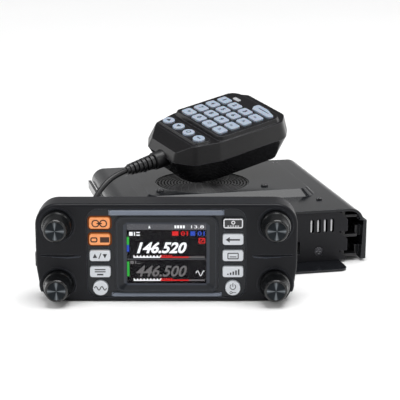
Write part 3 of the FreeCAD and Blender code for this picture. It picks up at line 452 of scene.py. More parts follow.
def object_places(nodes, links, texture):
    """Fixes a texture to the object."""
    place = nodes.new("ShaderNodeTexCoord")
    links.new(place.outputs["Object"], texture.inputs["Vector"])


def noise(nodes, links, scale, detail=2.0):
    """Noise of so many cells to the metre."""
    texture = nodes.new("ShaderNodeTexNoise")
    texture.inputs["Scale"].default_value = scale
    texture.inputs["Detail"].default_value = detail
    object_places(nodes, links, texture)
    return texture.outputs["Fac"]


def roughened(nodes, links, value, smoothest, roughest):
    """The shader's roughness follows a value between two limits."""
    spread = nodes.new("ShaderNodeMapRange")
    spread.inputs["To Min"].default_value = smoothest
    spread.inputs["To Max"].default_value = roughest
    links.new(value, spread.inputs["Value"])
    links.new(spread.outputs["Result"], nodes["Principled BSDF"].inputs["Roughness"])


def bumped(nodes, links, height, strength, depth, normal=None):
    """The shader's normal follows a height, on top of another normal if one is given."""
    bump = nodes.new("ShaderNodeBump")
    bump.inputs["Strength"].default_value = strength
    bump.inputs["Distance"].default_value = depth
    links.new(height, bump.inputs["Height"])
    if normal:
        links.new(normal, bump.inputs["Normal"])
    links.new(bump.outputs["Normal"], nodes["Principled BSDF"].inputs["Normal"])


def edge_scuff_and_highlight(nodes, links, colour, wear_and_highlight, rounded_normal):
    """A colour that turns to a lighter tone where the rounded normal leaves the face's own: scuffed edges and
    a painted highlight along every edge.
    """
    geometry = nodes.new("ShaderNodeNewGeometry")
    angle = nodes.new("ShaderNodeVectorMath")
    angle.operation = "DOT_PRODUCT"
    links.new(rounded_normal, angle.inputs[0])
    links.new(geometry.outputs["Normal"], angle.inputs[1])
    edge_share = nodes.new("ShaderNodeMapRange")
    edge_share.inputs["From Min"].default_value = 0.985
    edge_share.inputs["From Max"].default_value = 0.90
    links.new(angle.outputs["Value"], edge_share.inputs["Value"])
    edge_mix = nodes.new("ShaderNodeMix")
    edge_mix.data_type = "RGBA"
    edge_mix.inputs["B"].default_value = (*wear_and_highlight, 1.0)
    links.new(edge_share.outputs["Result"], edge_mix.inputs["Factor"])
    links.new(colour, edge_mix.inputs["A"])
    return edge_mix.outputs["Result"]


def finish_of(name, dark, light, rough, patch=60.0, grain=3000.0, depth=0.02 * mm, rough_spread=0.08,
              edge=0.2 * mm, wear_and_highlight=None, **sockets):
    """A surface whose colour drifts between two tones in soft patches, with a fine grain.

    edge is the radius that the light sees on its edges; the lighter edge tone painted along them stands for
    scuffing and a painted highlight;
    other sockets of the shader are set by name."""
    material, nodes, links = new_material(name)
    shader = nodes["Principled BSDF"]
    set_sockets(shader, **sockets)
    tint = nodes.new("ShaderNodeMix")
    tint.data_type = "RGBA"
    tint.inputs["A"].default_value = (*dark, 1.0)
    tint.inputs["B"].default_value = (*light, 1.0)
    links.new(noise(nodes, links, patch, detail=4.0), tint.inputs["Factor"])
    colour = tint.outputs["Result"]
    fine = noise(nodes, links, grain)
    roughened(nodes, links, fine, max(rough - rough_spread, 0.02), min(rough + rough_spread, 1.0))
    rounded_normal = None
    if edge:
        bevel = nodes.new("ShaderNodeBevel")
        bevel.samples = 4
        bevel.inputs["Radius"].default_value = edge
        rounded_normal = bevel.outputs["Normal"]
        # lighter edges: scuffing and a painted highlight
        if wear_and_highlight:
            colour = edge_scuff_and_highlight(nodes, links, colour, wear_and_highlight, rounded_normal)
    bumped(nodes, links, fine, 0.6, depth, rounded_normal)
    links.new(colour, shader.inputs["Base Color"])
    return material


def lit(name, colour, strength=1.0):
    """A glowing display colour with a faint pixel grid."""
    pixel = 0.17 * mm
    dimmer = [channel * 0.94 for channel in colour]
    material, nodes, links = new_material(name)
    shader = nodes["Principled BSDF"]
    set_sockets(shader, Roughness=0.4, Specular_IOR_Level=0.0, Base_Color=(0.003, 0.003, 0.003, 1.0),
                Emission_Strength=strength)
    cells = nodes.new("ShaderNodeTexChecker")
    cells.inputs["Scale"].default_value = 1.0 / pixel
    cells.inputs["Color1"].default_value = (*colour, 1.0)
    cells.inputs["Color2"].default_value = (*dimmer, 1.0)
    object_places(nodes, links, cells)
    links.new(cells.outputs["Color"], shader.inputs["Emission Color"])
    return material


def clear(name, tint, rough, index=1.45):
    """Clear glass or polycarbonate, with faint smears in its gloss."""
    material, nodes, links = new_material(name)
    set_sockets(nodes["Principled BSDF"], Base_Color=(*tint, 1.0), Transmission_Weight=1.0, IOR=index)
    roughened(nodes, links, noise(nodes, links, 90.0), rough, rough + 0.03)
    return material


def spun_metal_painted_highlight():
    """A spun disc: fine rings round its own Z axis, and a painted highlight of four bright arms at fixed
    angles in its base colour.
    """
    material, nodes, links = new_material("spun_face_painted_highlight")
    shader = nodes["Principled BSDF"]
    set_sockets(shader, Metallic=1.0, Anisotropic=0.9, Roughness=0.34)
    around = nodes.new("ShaderNodeTangent")
    around.direction_type = "RADIAL"
    around.axis = "Z"
    links.new(around.outputs["Tangent"], shader.inputs["Tangent"])
    rings = nodes.new("ShaderNodeTexWave")
    rings.wave_type = "RINGS"
    rings.rings_direction = "Z"
    rings.inputs["Scale"].default_value = 900.0
    rings.inputs["Distortion"].default_value = 1.5
    object_places(nodes, links, rings)
    bumped(nodes, links, rings.outputs["Fac"], 0.15, 0.01 * mm)
    angle = nodes.new("ShaderNodeTexGradient")
    angle.gradient_type = "RADIAL"
    object_places(nodes, links, angle)
    painted_highlight_ramp = nodes.new("ShaderNodeValToRGB")
    # painted highlight: bright arms at the quarter turns, fading to dull tones between them, in the base
    # colour
    bright, fading, dull = (0.23, 0.255, 0.275, 1.0), (0.11, 0.12, 0.13, 1.0), (0.018, 0.021, 0.024, 1.0)
    quarters = (0.0, 0.25, 0.5, 0.75)
    for stop in painted_highlight_ramp.color_ramp.elements:
        stop.color = bright
    for quarter in quarters[1:]:
        painted_highlight_ramp.color_ramp.elements.new(quarter).color = bright
    for quarter in quarters:
        for offset, tone in ((0.012, fading), (0.05, dull), (0.20, dull), (0.238, fading)):
            painted_highlight_ramp.color_ramp.elements.new(quarter + offset).color = tone
    links.new(angle.outputs["Fac"], painted_highlight_ramp.inputs["Fac"])
    links.new(painted_highlight_ramp.outputs["Color"], shader.inputs["Base Color"])
    return material


def threaded(name, dark, light, pitch):
    """Plated metal with a thread's ridges across Y."""
    material = finish_of(name, dark, light, 0.22, patch=150.0, grain=2500.0, depth=0.005 * mm, Metallic=1.0)
    nodes, links = material.node_tree.nodes, material.node_tree.links
    ridges = nodes.new("ShaderNodeTexWave")
    ridges.bands_direction = "Y"
    ridges.inputs["Scale"].default_value = 2 * math.pi / (20 * pitch)
    object_places(nodes, links, ridges)
    bumped(nodes, links, ridges.outputs["Fac"], 0.6, 0.15 * mm)
    return material


def board_finish():
    """Green circuit board: a lacquered ground with paler copper runs under it."""
    dark, light, copper_run = (0.01, 0.075, 0.03), (0.012, 0.09, 0.035), (0.04, 0.2, 0.07)
    material = finish_of("circuit_board", dark, light, 0.35, edge=0.0)
    nodes, links = material.node_tree.nodes, material.node_tree.links
    runs = nodes.new("ShaderNodeTexBrick")
    runs.inputs["Scale"].default_value = 260.0
    runs.inputs["Mortar Size"].default_value = 0.04
    runs.inputs["Color1"].default_value = (*dark, 1.0)
    runs.inputs["Color2"].default_value = (*light, 1.0)
    runs.inputs["Mortar"].default_value = (*copper_run, 1.0)
    object_places(nodes, links, runs)
    links.new(runs.outputs["Color"], nodes["Principled BSDF"].inputs["Base Color"])
    return material


def show(material, *nodes):
    """Gives CAD nodes a material."""
    for node in nodes:
        mesh = frame["nodes"][node].data
        mesh.materials.clear()
        mesh.materials.append(material)


# radio unit
# the edge tones given in this group paint lighter edges: scuffing and a painted highlight
cover_paint = finish_of("cover_paint", (0.006, 0.0065, 0.008), (0.010, 0.011, 0.0135), 0.17, grain=1600.0,
                        depth=0.006 * mm, rough_spread=0.06, wear_and_highlight=(0.09, 0.095, 0.11), edge=0.35 * mm,
                        Specular_IOR_Level=0.35)
show(cover_paint, "top_cover", "base_plate", "rear_plate", "left_side_wall", "right_side_wall")
front_paint = finish_of("front_paint", (0.008, 0.008, 0.010), (0.013, 0.013, 0.016), 0.5, grain=2600.0,
                        wear_and_highlight=(0.12, 0.12, 0.14), Specular_IOR_Level=0.25)
show(front_paint, "front_plate")
casting = finish_of("black_casting", (0.005, 0.005, 0.006), (0.009, 0.009, 0.010), 0.5, grain=900.0,
                    depth=0.06 * mm, wear_and_highlight=(0.16, 0.16, 0.17), edge=0.3 * mm)
show(casting, "chassis")
screw_steel = finish_of("screw_steel", (0.05, 0.05, 0.055), (0.10, 0.10, 0.11), 0.3, wear_and_highlight=(0.5, 0.5, 0.52),
                        edge=0.15 * mm, Metallic=1.0)
show(screw_steel, "case_screws")
show(threaded("aerial_thread", (0.30, 0.295, 0.28), (0.40, 0.395, 0.38), 1.06 * mm), "aerial_socket")
socket_black = finish_of("socket_black", (0.012, 0.012, 0.013), (0.02, 0.02, 0.022), 0.42)
show(socket_black, "front_sockets", "power_inlet", "rear_jacks", "speaker", "knob_encoders", "mic_capsule",
     "display_module")
fan_black = finish_of("fan_black", (0.014, 0.014, 0.015), (0.024, 0.024, 0.026), 0.38)
show(fan_black, "fan_frame", "fan_rotor")
show(board_finish(), "main_board", "panel_board", "mic_board")
show(finish_of("power_module", (0.03, 0.03, 0.03), (0.06, 0.06, 0.06), 0.4), "power_stage")
show(clear("plug_clear", (0.86, 0.88, 0.9), 0.12), "modular_plug")
grille_metal = finish_of("grille_metal", (0.012, 0.012, 0.013), (0.022, 0.022, 0.024), 0.35, grain=2500.0)
pale_metal = finish_of("pale_metal", (0.45, 0.45, 0.46), (0.6, 0.6, 0.61), 0.35, edge=0.15 * mm, Metallic=0.6)

# control panel
# the edge tones given in this group paint lighter edges: scuffing and a painted highlight
panel_plastic = finish_of("panel_plastic", (0.004, 0.0043, 0.006), (0.0085, 0.009, 0.012), 0.38, grain=2600.0,
                          depth=0.03 * mm, wear_and_highlight=(0.075, 0.08, 0.095), edge=0.5 * mm, Specular_IOR_Level=0.2)
show(panel_plastic, "panel_front_shell", "panel_rear_shell", "card_slot_cap")
fascia_plastic = finish_of("fascia_plastic", (0.0045, 0.006, 0.009), (0.0075, 0.0095, 0.014), 0.32,
                           grain=2200.0, depth=0.01 * mm, wear_and_highlight=(0.10, 0.115, 0.145), edge=0.3 * mm,
                           Specular_IOR_Level=0.35)
show(fascia_plastic, "fascia")
slope_satin = finish_of("slope_satin", (0.022, 0.027, 0.039), (0.034, 0.041, 0.057), 0.34, grain=1800.0,
                        depth=0.006 * mm, edge=0.25 * mm, Specular_IOR_Level=0.4)
# a lighter blue-grey on the same dark plastic: a painted highlight along the rolled edges
painted_highlight_satin = finish_of("painted_highlight_satin", (0.12, 0.14, 0.18), (0.19, 0.215, 0.265), 0.30, patch=45.0, grain=1500.0,
                      depth=0.006 * mm, edge=0.3 * mm)
show(clear("window_glass", (0.97, 0.98, 1.0), 0.0, index=1.16), "display_glass")
knob_black = finish_of("knob_black", (0.004, 0.0045, 0.005), (0.007, 0.0075, 0.008), 0.24, grain=2400.0,
                       depth=0.008 * mm, edge=0.25 * mm)
KNOBS = ("upper_left_knob", "upper_right_knob", "lower_left_knob", "lower_right_knob")
show(knob_black, *KNOBS)
# spun metal whose base colour holds a painted four-armed highlight
spun = spun_metal_painted_highlight()
orange_key = finish_of("orange_key", (0.62, 0.22, 0.07), (0.70, 0.27, 0.10), 0.35, patch=200.0, edge=0.3 * mm,
                       Emission_Color=(1.0, 0.36, 0.12, 1.0), Emission_Strength=0.28)
show(orange_key, "group_button", "mode_button")
white_key = finish_of("white_key", (0.52, 0.54, 0.57), (0.60, 0.62, 0.65), 0.38, patch=200.0, edge=0.3 * mm,
                      Emission_Color=(0.9, 0.95, 1.0, 1.0), Emission_Strength=0.1)
show(white_key, "main_band_button", "memory_button", "band_button", "back_button", "display_button",
     "squelch_button", "power_button")
outlined_key = finish_of("outlined_key", (0.02, 0.02, 0.022), (0.03, 0.03, 0.033), 0.35, edge=0.3 * mm)
show(outlined_key, "function_button")
amber_glow = lit("amber_glow", (1.0, 0.22, 0.03), 0.16)

# microphone
# the edge tone given here paints lighter edges: scuffing and a painted highlight
mic_plastic = finish_of("mic_plastic", (0.004, 0.0037, 0.0045), (0.0075, 0.007, 0.008), 0.30, grain=2300.0,
                        wear_and_highlight=(0.08, 0.08, 0.09), edge=0.6 * mm, Specular_IOR_Level=0.4)
show(mic_plastic, "mic_front_shell", "talk_key", "hanger_stud")
mic_gloss = finish_of("mic_gloss", (0.006, 0.006, 0.007), (0.009, 0.009, 0.010), 0.14, grain=700.0,
                      depth=0.004 * mm, rough_spread=0.04, edge=0.4 * mm)
show(mic_gloss, "mic_back_shell")
key_rubber = finish_of("key_rubber", (0.33, 0.39, 0.48), (0.38, 0.44, 0.53), 0.36, patch=160.0,
                       edge=0.35 * mm, Subsurface_Weight=0.15, Subsurface_Scale=0.001)
show(key_rubber, "keypad", "wide_key", "small_key_1", "small_key_2", "small_key_3", "small_key_4")
lamp_frosted = finish_of("lamp_frosted", (0.40, 0.41, 0.43), (0.48, 0.49, 0.51), 0.22, patch=200.0)
show(lamp_frosted, "lamp_lens")
lead_rubber = finish_of("lead_rubber", (0.008, 0.008, 0.009), (0.014, 0.014, 0.0155), 0.4, grain=2600.0,
                        depth=0.012 * mm)
show(lead_rubber, "strain_relief")
lead.data.materials.clear()
lead.data.materials.append(lead_rubber)
for polygon in lead.data.polygons:
    polygon.use_smooth = True

# print
ink_grey = finish_of("ink_grey", (0.016, 0.016, 0.02), (0.026, 0.026, 0.03), 0.6, edge=0.0)
ink_brown = finish_of("ink_brown", (0.04, 0.012, 0.004), (0.06, 0.018, 0.005), 0.6, edge=0.0)
ink_white = finish_of("ink_white", (0.72, 0.73, 0.75), (0.82, 0.83, 0.85), 0.5, edge=0.0)
ink_blue = finish_of("ink_blue", (0.012, 0.017, 0.03), (0.02, 0.027, 0.045), 0.6, edge=0.0)


# ---------------------------------------------------------------- control panel

def body_for(node):
    """The CAD body that a node belongs to."""
    return frame["nodes"][node]["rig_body"]


# each spun disc, with its rings of (share of the radius, rise), and each seat's rim of (radius, w)
DISC_RADIUS = 4.8 * mm
DISC_LIFT = 0.08 * mm
DISC_RINGS = ((0.5, 0.0), (0.96, 0.01 * mm), (1.0, -0.06 * mm))
DISC_STEPS = 64
SEAT_RIM = [(radius * mm, w * mm)
            for radius, w in ((8.6, -0.3), (8.75, 0.12), (9.1, 0.25), (9.6, 0.12), (10.2, -0.3))]
WHOLE_RIM = (0, 360)       # from and to, in degrees
CUT_RIM = (-25, 205)


def spun_disc(name):
    """A shallow round dish about its own Z axis, which its spun finish turns about."""
    vertices, faces = [(0.0, 0.0, 0.0)], []
    for share, rise in DISC_RINGS:
        radius = DISC_RADIUS * share
        for k in range(DISC_STEPS):
            angle = 2 * math.pi * k / DISC_STEPS
            vertices.append((radius * math.cos(angle), radius * math.sin(angle), rise))
    for k in range(DISC_STEPS):
        following = (k + 1) % DISC_STEPS
        faces.append([0, 1 + k, 1 + following])
        for ring in range(len(DISC_RINGS) - 1):
            inner = 1 + ring * DISC_STEPS
            outer = inner + DISC_STEPS
            faces.append([inner + k, outer + k, outer + following, inner + following])
    mesh = bpy.data.meshes.new(name)
    mesh.from_pydata(vertices, [], faces)
    mesh.materials.append(spun)
    for polygon in mesh.polygons:
        polygon.use_smooth = True
    disc = bpy.data.objects.new(name, mesh)
    scene.collection.objects.link(disc)
    return disc


def knob_faces():
    """The spun end of each knob and the raised ring round its seat; the lower rings run out at the edge."""
    turn = (panel.axes @ panel_face.turn).to_4x4()
    for name in KNOBS:
        middle = panel_face.middle(name)
        level = max(w for u, v, w in panel_face.places(name)
                    if math.hypot(u - middle[0], v - middle[1]) < 1.03 * DISC_RADIUS)
        disc = spun_disc(name + "_face")
        disc.matrix_world = Matrix.Translation(panel_face.to_row(*middle, level + DISC_LIFT)) @ turn
        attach(disc, body_for(name))
        start, end = WHOLE_RIM if name.startswith("upper") else CUT_RIM
        swept(name + "_seat_rim", panel_face, middle, [SEAT_RIM], panel_plastic, "control_panel",
              start, end)


INK_LIFT = 0.02 * mm


def symbol(name, face, outlines, material, size=1.18):
    """A printed symbol in the middle of a button, a hair above its top; at size 1 it is in millimetres."""
    top = face.span(name)[1].z
    printed(name + "_symbol", face, shifted(outlines, face.middle(name), size * mm), top + INK_LIFT, material,
            body_for(name))


def panel_symbols():
    """Plain symbols in place of words on the panel's buttons."""
    linked = arc((-1.7, 0), 1.5, 0.55, 0, 360, 28) + arc((1.7, 0), 1.5, 0.55, 0, 360, 28)
    linked += [bar(-1.2, -0.28, 1.2, 0.28)]
    symbol("group_button", panel_face, linked, ink_brown)
    modes = frame_of((-2.5, 0), (3.2, 2.4), 0.9, 0.6) + [bar(0.2, -1.25, 4.3, 1.25)]
    symbol("mode_button", panel_face, modes, ink_brown)
    swap = [[(-3.2, -0.9), (-1.2, -0.9), (-2.2, 1.1)], [(1.2, 0.9), (2.2, -1.1), (3.2, 0.9)]]
    swap += stroke([(-0.5, -1.3), (0.5, 1.3)], 0.4)
    symbol("main_band_button", panel_face, swap, ink_grey)
    lines = [bar(-2.4, 0.9, 2.4, 1.4), bar(-2.4, -0.1, 2.4, 0.4), bar(-1.4, -1.5, 1.4, -0.8)]
    symbol("memory_button", panel_face, lines, ink_grey)
    wave = stroke([(-2.7 + 0.3 * k, 0.9 * math.sin(0.3 * k * 2.35)) for k in range(19)], 0.45)
    symbol("band_button", panel_face, wave, ink_grey)
    back = [[(-3.3, 0), (-1.5, -1.3), (-1.5, 1.3)], bar(-1.5, -0.35, 3.0, 0.35)]
    symbol("back_button", panel_face, back, ink_grey)
    window = frame_of((0, 0), (5.0, 3.0), 0.5, 0.45) + [bar(-1.5, -0.6, 1.5, -0.2)]
    symbol("display_button", panel_face, window, ink_grey)
    squelch = [bar(-2.6 + 1.2 * k, -1.3, -1.9 + 1.2 * k, -0.7 + 0.5 * k) for k in range(5)]
    symbol("squelch_button", panel_face, squelch, ink_grey)
    power = arc((0, 0.7), 1.25, 0.34, 125, 415, 24) + [bar(-0.17, 0.7, 0.17, 2.4)]
    power += arc((-0.8, -2.0), 0.5, 0.28, 0, 360, 16) + [bar(-0.3, -2.14, 1.5, -1.86)]
    symbol("power_button", panel_face, power, ink_grey)
    outline = frame_of((0, 0), (10.2, 5.1), 1.1, 0.62) + arc((0, 0.5), 0.8, 0.5, 0, 360, 16)
    outline += [bar(-3.0 + 1.3 * k, -1.6, -2.2 + 1.3 * k, -1.1) for k in range(5)]
    symbol("function_button", panel_face, outline, ink_white, size=1.0)


def fascia_trim():
    """Amber light that leaks round the two lit keys, and the low ribs between the keys."""
    margin = 1.7 * mm
    floor_level = -0.57 * mm
    rib_size = (9.6 * mm, 1.15 * mm)
    for name in ("group_button", "mode_button"):
        low, high = panel_face.span(name)
        size = (high.x - low.x + margin, high.y - low.y + margin)
        ring = frame_of(panel_face.middle(name), size, 2.1 * mm, 0.55 * mm)
        printed(name + "_glow", panel_face, ring, floor_level, amber_glow, "control_panel")
    for side, names in (("left", ("group_button", "mode_button", "main_band_button", "memory_button")),
                        ("right", ("function_button", "back_button", "display_button", "squelch_button"))):
        ribs = []
        spans = [panel_face.span(name) for name in names]
        for (above, _), (_, below) in zip(spans, spans[1:]):
            ribs.append(rounded(((above.x + below.x) / 2, (above.y + below.y) / 2), rib_size, 0.4 * mm))
        raised(side + "_key_ribs", panel_face, ribs, -0.65 * mm, -0.1 * mm, fascia_plastic, "control_panel",
               draft=0.2 * mm)


def window_slopes():
    """The window's four sloping sides, from the fascia's crest down to the glass."""
    glass_low, glass_high = panel_face.span("display_glass")
    crest_level = panel_face.span("fascia")[1].z
    crest = [place for place in panel_face.places("fascia") if place.z > crest_level - 0.05 * mm]
    crest_low, crest_high = extent(crest)
    left, right = crest_low.x + 0.9 * mm, crest_high.x - 0.9 * mm
    bottom, top = crest_low.y + 0.7 * mm, crest_high.y - 0.7 * mm
    rim = rounded(((left + right) / 2, (bottom + top) / 2), (right - left, top - bottom), 2.2 * mm)
    middle = panel_face.middle("display_glass")
    wide, tall = glass_high.x - glass_low.x + 0.2 * mm, glass_high.y - glass_low.y + 0.2 * mm
    foot = -1.24 * mm
    rings = [(rim, crest_level + 0.03 * mm),
             (rounded(middle, (wide, tall), 0.8 * mm), foot),
             (rounded(middle, (wide + 0.6 * mm, tall + 0.6 * mm), 0.8 * mm), foot - 0.3 * mm),
             (rim, crest_level - 0.4 * mm)]
    sections = [[panel_face.to_row(u, v, w) for u, v in outline] for outline, w in rings]
    vertices, faces = skin_over(sections, True)
    add_piece("window_slopes", vertices, faces, slope_satin, "control_panel")


# in millimetres: each rolled edge's profile of (v, w) and the half width that it runs to, the foot that both
# sink to at their ends, and the outline of a crease's lip in (u, v)
UPPER_ROLL = ((-3.15, -0.3), (-3.15, 0.7), (-2.8, 0.95), (-2.2, 0.93), (-1.4, 0.72), (-0.7, 0.35),
              (-0.25, -0.3))
UPPER_REACH = 30.2
LOWER_ROLL = ((0.35, -0.3), (0.45, 0.35), (0.9, 0.62), (1.6, 0.55), (2.3, 0.25), (2.65, -0.3))
LOWER_REACH = 29.0
FOOT = -0.3
CREASE_LIP = ((44.6, 24.75), (52, 24.15), (60, 24.55), (60, 24.2), (52, 23.5), (46, 24.0))


def rolled_edge(name, profile, edge, reach):
    """A rounded edge carried along u, in a lighter material that paints its highlight; both of its ends run
    out into the fascia.
    """
    rising = ((-reach, 0.02), (-reach + 0.5, 0.6), (-reach + 1.8, 1.0))
    falling = tuple((-u, share) for u, share in reversed(rising))
    sections = []
    for u, share in rising + falling:
        sections.append([panel_face.to_row(u * mm, edge + v * mm, (FOOT + (w - FOOT) * share) * mm)
                         for v, w in profile])
    vertices, faces = skin_over(sections, False)
    add_piece(name, vertices, faces, painted_highlight_satin, "control_panel")


def fascia_edges():
    """The rolled edges above and below the window, with their painted highlight, and the lip of each crease
    beside it.
    """
    low, high = panel_face.span("fascia")
    rolled_edge("upper_edge_roll", UPPER_ROLL, high.y, UPPER_REACH)
    rolled_edge("lower_edge_roll", LOWER_ROLL, low.y, LOWER_REACH)
    for name, side in (("left_crease_lip", -1), ("right_crease_lip", 1)):
        lip = [(side * u * mm, v * mm) for u, v in CREASE_LIP]
        raised(name, panel_face, [lip], -0.3 * mm, 0.3 * mm, slope_satin, "control_panel",
               draft=0.2 * mm)


def screen():
    """What the display shows: a status bar, two rows of numerals, two meters and a few coloured marks."""
    low, high = panel_face.span("display_glass")
    wide, tall = high.x - low.x, high.y - low.y
    layers = {
        "screen_ground": (lit("screen_black", (0.0025, 0.002, 0.003)), -0.12 * mm),
        "screen_bar": (lit("screen_grey", (0.10, 0.10, 0.11)), -0.10 * mm),
        "screen_dim": (lit("screen_dim_white", (0.16, 0.15, 0.15)), -0.09 * mm),
        "screen_red": (lit("screen_red_light", (0.75, 0.02, 0.02)), -0.08 * mm),
        "screen_green": (lit("screen_green_light", (0.03, 0.45, 0.05)), -0.08 * mm),
        "screen_blue": (lit("screen_blue_light", (0.03, 0.08, 0.55)), -0.08 * mm),
        "screen_white": (lit("screen_white_light", (1.0, 1.0, 1.0), 1.1), -0.06 * mm),
    }
    drawn = {name: [] for name in layers}

    def at(across, up):
        """A place on the screen, in shares of its width and height."""
        return low.x + across * wide, low.y + up * tall

    def patches(name, *corners):
        """Adds rectangles, each given by its left, low, right and high sides."""
        drawn[name] += [bar(*at(x0, y0), *at(x1, y1)) for x0, y0, x1, y1 in corners]

    def words(name, text, x0, y0, x1, y1, slant=0.0, bold=0.0):
        """Adds numerals that fill a rectangle."""
        start, end = at(x0, y0), at(x1, y1)
        drawn[name] += figures(text, *start, end[0] - start[0], end[1] - start[1], slant, bold)

    # ground, status bar and the line between the two rows
    patches("screen_ground", (0, 0, 1, 1))
    patches("screen_bar", (0, 0.90, 1, 1), (0, 0.395, 1, 0.41))
    words("screen_white", "13.8", 0.81, 0.925, 0.97, 0.975)
    patches("screen_white", *((0.60 + 0.035 * k, 0.925, 0.625 + 0.035 * k, 0.975) for k in range(4)))
    drawn["screen_white"] += [[at(0.27, 0.925), at(0.30, 0.925), at(0.285, 0.975)]]
    # the upper row's numerals, and the marks above them
    words("screen_white", "146.520", 0.125, 0.50, 0.755, 0.695, slant=0.3, bold=0.035)
    patches("screen_white", (0.03, 0.80, 0.075, 0.865), (0.09, 0.80, 0.105, 0.865),
            (0.12, 0.80, 0.165, 0.82), (0.12, 0.845, 0.165, 0.865))
    patches("screen_red", (0.57, 0.80, 0.65, 0.875))
    words("screen_red", "01", 0.68, 0.80, 0.77, 0.875, bold=0.02)
    patches("screen_blue", (0.80, 0.80, 0.86, 0.875))
    words("screen_blue", "01", 0.89, 0.80, 0.98, 0.875, bold=0.02)
    drawn["screen_red"] += frame_of(at(0.945, 0.715), (3.4 * mm, 3.0 * mm), 0.4 * mm, 0.5 * mm)
    drawn["screen_red"] += stroke([at(0.925, 0.69), at(0.965, 0.74)], 0.5 * mm)
    # the lower row's numerals and marks
    words("screen_dim", "446.500", 0.115, 0.10, 0.755, 0.295, slant=0.3, bold=0.02)
    patches("screen_dim", (0.04, 0.32, 0.085, 0.375), (0.10, 0.32, 0.115, 0.375), (0.13, 0.32, 0.17, 0.335))
    wave = [at(0.87 + 0.012 * k, 0.16 + 0.045 * math.sin(k * 0.95)) for k in range(10)]
    drawn["screen_white"] += stroke(wave, 0.35 * mm)
    # bars at the left side
    patches("screen_green", (0.0, 0.645, 0.028, 0.78), (0.0, 0.11, 0.028, 0.36))
    patches("screen_blue", (0.0, 0.53, 0.028, 0.645))
    # a meter under each row
    for level in (0.425, 0.03):
        high_side, tick = level + 0.022, level + 0.026
        patches("screen_white", (0.08, level, 0.42, high_side))
        patches("screen_white", *((0.08 + 0.042 * k, high_side, 0.095 + 0.042 * k, level + 0.042)
                                  for k in range(9)))
        patches("screen_red", (0.42, level, 0.78, high_side))
        patches("screen_red", *((0.43 + 0.03 * k, tick, 0.448 + 0.03 * k, level + 0.046) for k in range(5)))
        patches("screen_dim", (0.78, level, 0.98, high_side))
    for name, (material, lift) in layers.items():
        printed(name, panel_face, drawn[name], low.z + lift, material, "control_panel")


knob_faces()
panel_symbols()
fascia_trim()
window_slopes()
fascia_edges()
screen()


# ---------------------------------------------------------------- radio unit

def grille():
    """The loudspeaker's grille: thin rings held by short bridges, with curved slots between them."""
    pitch = 1.9 * mm
    half = 0.5 * mm
    bevel = 0.15 * mm
    half_bridge = 0.35 * mm
    low, high = unit.span("speaker_grille")
    middle = ((low.x + high.x) / 2, (low.y + high.y) / 2)
    outer = (high.x - low.x) / 2
    rings = int(outer / pitch)
    profiles, bridges = [], []
    for ring in range(rings):
        radius = outer - half - (rings - 1 - ring) * pitch
        inner_side, outer_side = radius - half, radius + half
        profiles.append([(inner_side, low.z), (inner_side, high.z - bevel), (inner_side + bevel, high.z),
                         (outer_side - bevel, high.z), (outer_side, high.z - bevel), (outer_side, low.z)])
        count = 6 + 2 * ring
        for k in range(count):
            turn = 360 * (k + 0.5 * (ring % 2)) / count
            reach = math.degrees(half_bridge / radius)
            bridges += arc(middle, radius - pitch / 2, pitch, turn - reach, turn + reach, 1)
    piece = swept("speaker_mesh", unit_top, middle, profiles, grille_metal, "radio_unit")
    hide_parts("speaker_grille")
    raised("speaker_mesh_bridges", unit_top, bridges, low.z + 0.1 * mm, high.z - 0.1 * mm, grille_metal,
           "radio_unit")


def louvres():
    """A bright bent tongue in the left half of each vent slot of the front plate."""
    front = -unit.span("front_plate")[0].y
    size = (1.0 * mm, 7.2 * mm)
    first, spacing, level = 38.5, 4.0, 22.2        # in millimetres
    tongues = [rounded(((first + spacing * k) * mm, level * mm), size, 0.45 * mm) for k in range(4)]
    raised("vent_louvres", unit_front, tongues, front - 1.5 * mm, front - 0.35 * mm, pale_metal, "radio_unit",
           draft=0.2 * mm)


grille()
louvres()


# ---------------------------------------------------------------- hand microphone

KEY_ROWS = 9.13 * mm
KEY_COLUMNS = 10.38 * mm
LEGENDS = (("1", "2", "3", ""), ("4", "5", "6", ""), ("7", "8", "9", ""), ("", "0", "", ""))
FIGURE_TALL = 3.2 * mm
FIGURE_WIDE = 2.2 * mm
ONE_WIDE = 1.0 * mm
MARK_REACH = 1.2 * mm
MARK_LINE = 0.4 * mm


def key_star(u, v):
    """Three strokes that cross."""
    pieces = []
    for turn in (0, 60, 120):
        du = math.cos(math.radians(turn)) * MARK_REACH
        dv = math.sin(math.radians(turn)) * MARK_REACH
        pieces += stroke([(u - du, v - dv), (u + du, v + dv)], MARK_LINE)
    return pieces


def key_bars(u, v, count):
    """Level bars above each other, each shorter than the one below."""
    return [bar(u - MARK_REACH, v + (0.8 * k - 1.0) * mm, u + (1.2 - 0.5 * k) * mm, v + (0.8 * k - 0.55) * mm)
            for k in range(count)]


def keypad_figures():
    """Numerals on the pad's first three columns and plain marks on the rest."""
    outlines = []
    for row, texts in enumerate(LEGENDS):
        for column, text in enumerate(texts):
            u, v = (column - 1.5) * KEY_COLUMNS, (1.5 - row) * KEY_ROWS
            if text:
                wide = ONE_WIDE if text == "1" else FIGURE_WIDE
                outlines += figures(text, u - wide / 2, v - FIGURE_TALL / 2, wide, FIGURE_TALL, bold=0.045)
            elif column == 0:
                outlines += key_star(u, v)
            elif column == 2:
                outlines += frame_of((u, v), (2.2 * mm, 2.2 * mm), 0.1 * mm, MARK_LINE)
            else:
                outlines += key_bars(u, v, row % 2 + 2)
    top = mic_face.span("keypad")[1].z
    printed("keypad_figures", mic_face, outlines, top + INK_LIFT, ink_blue, "keypad_mat")


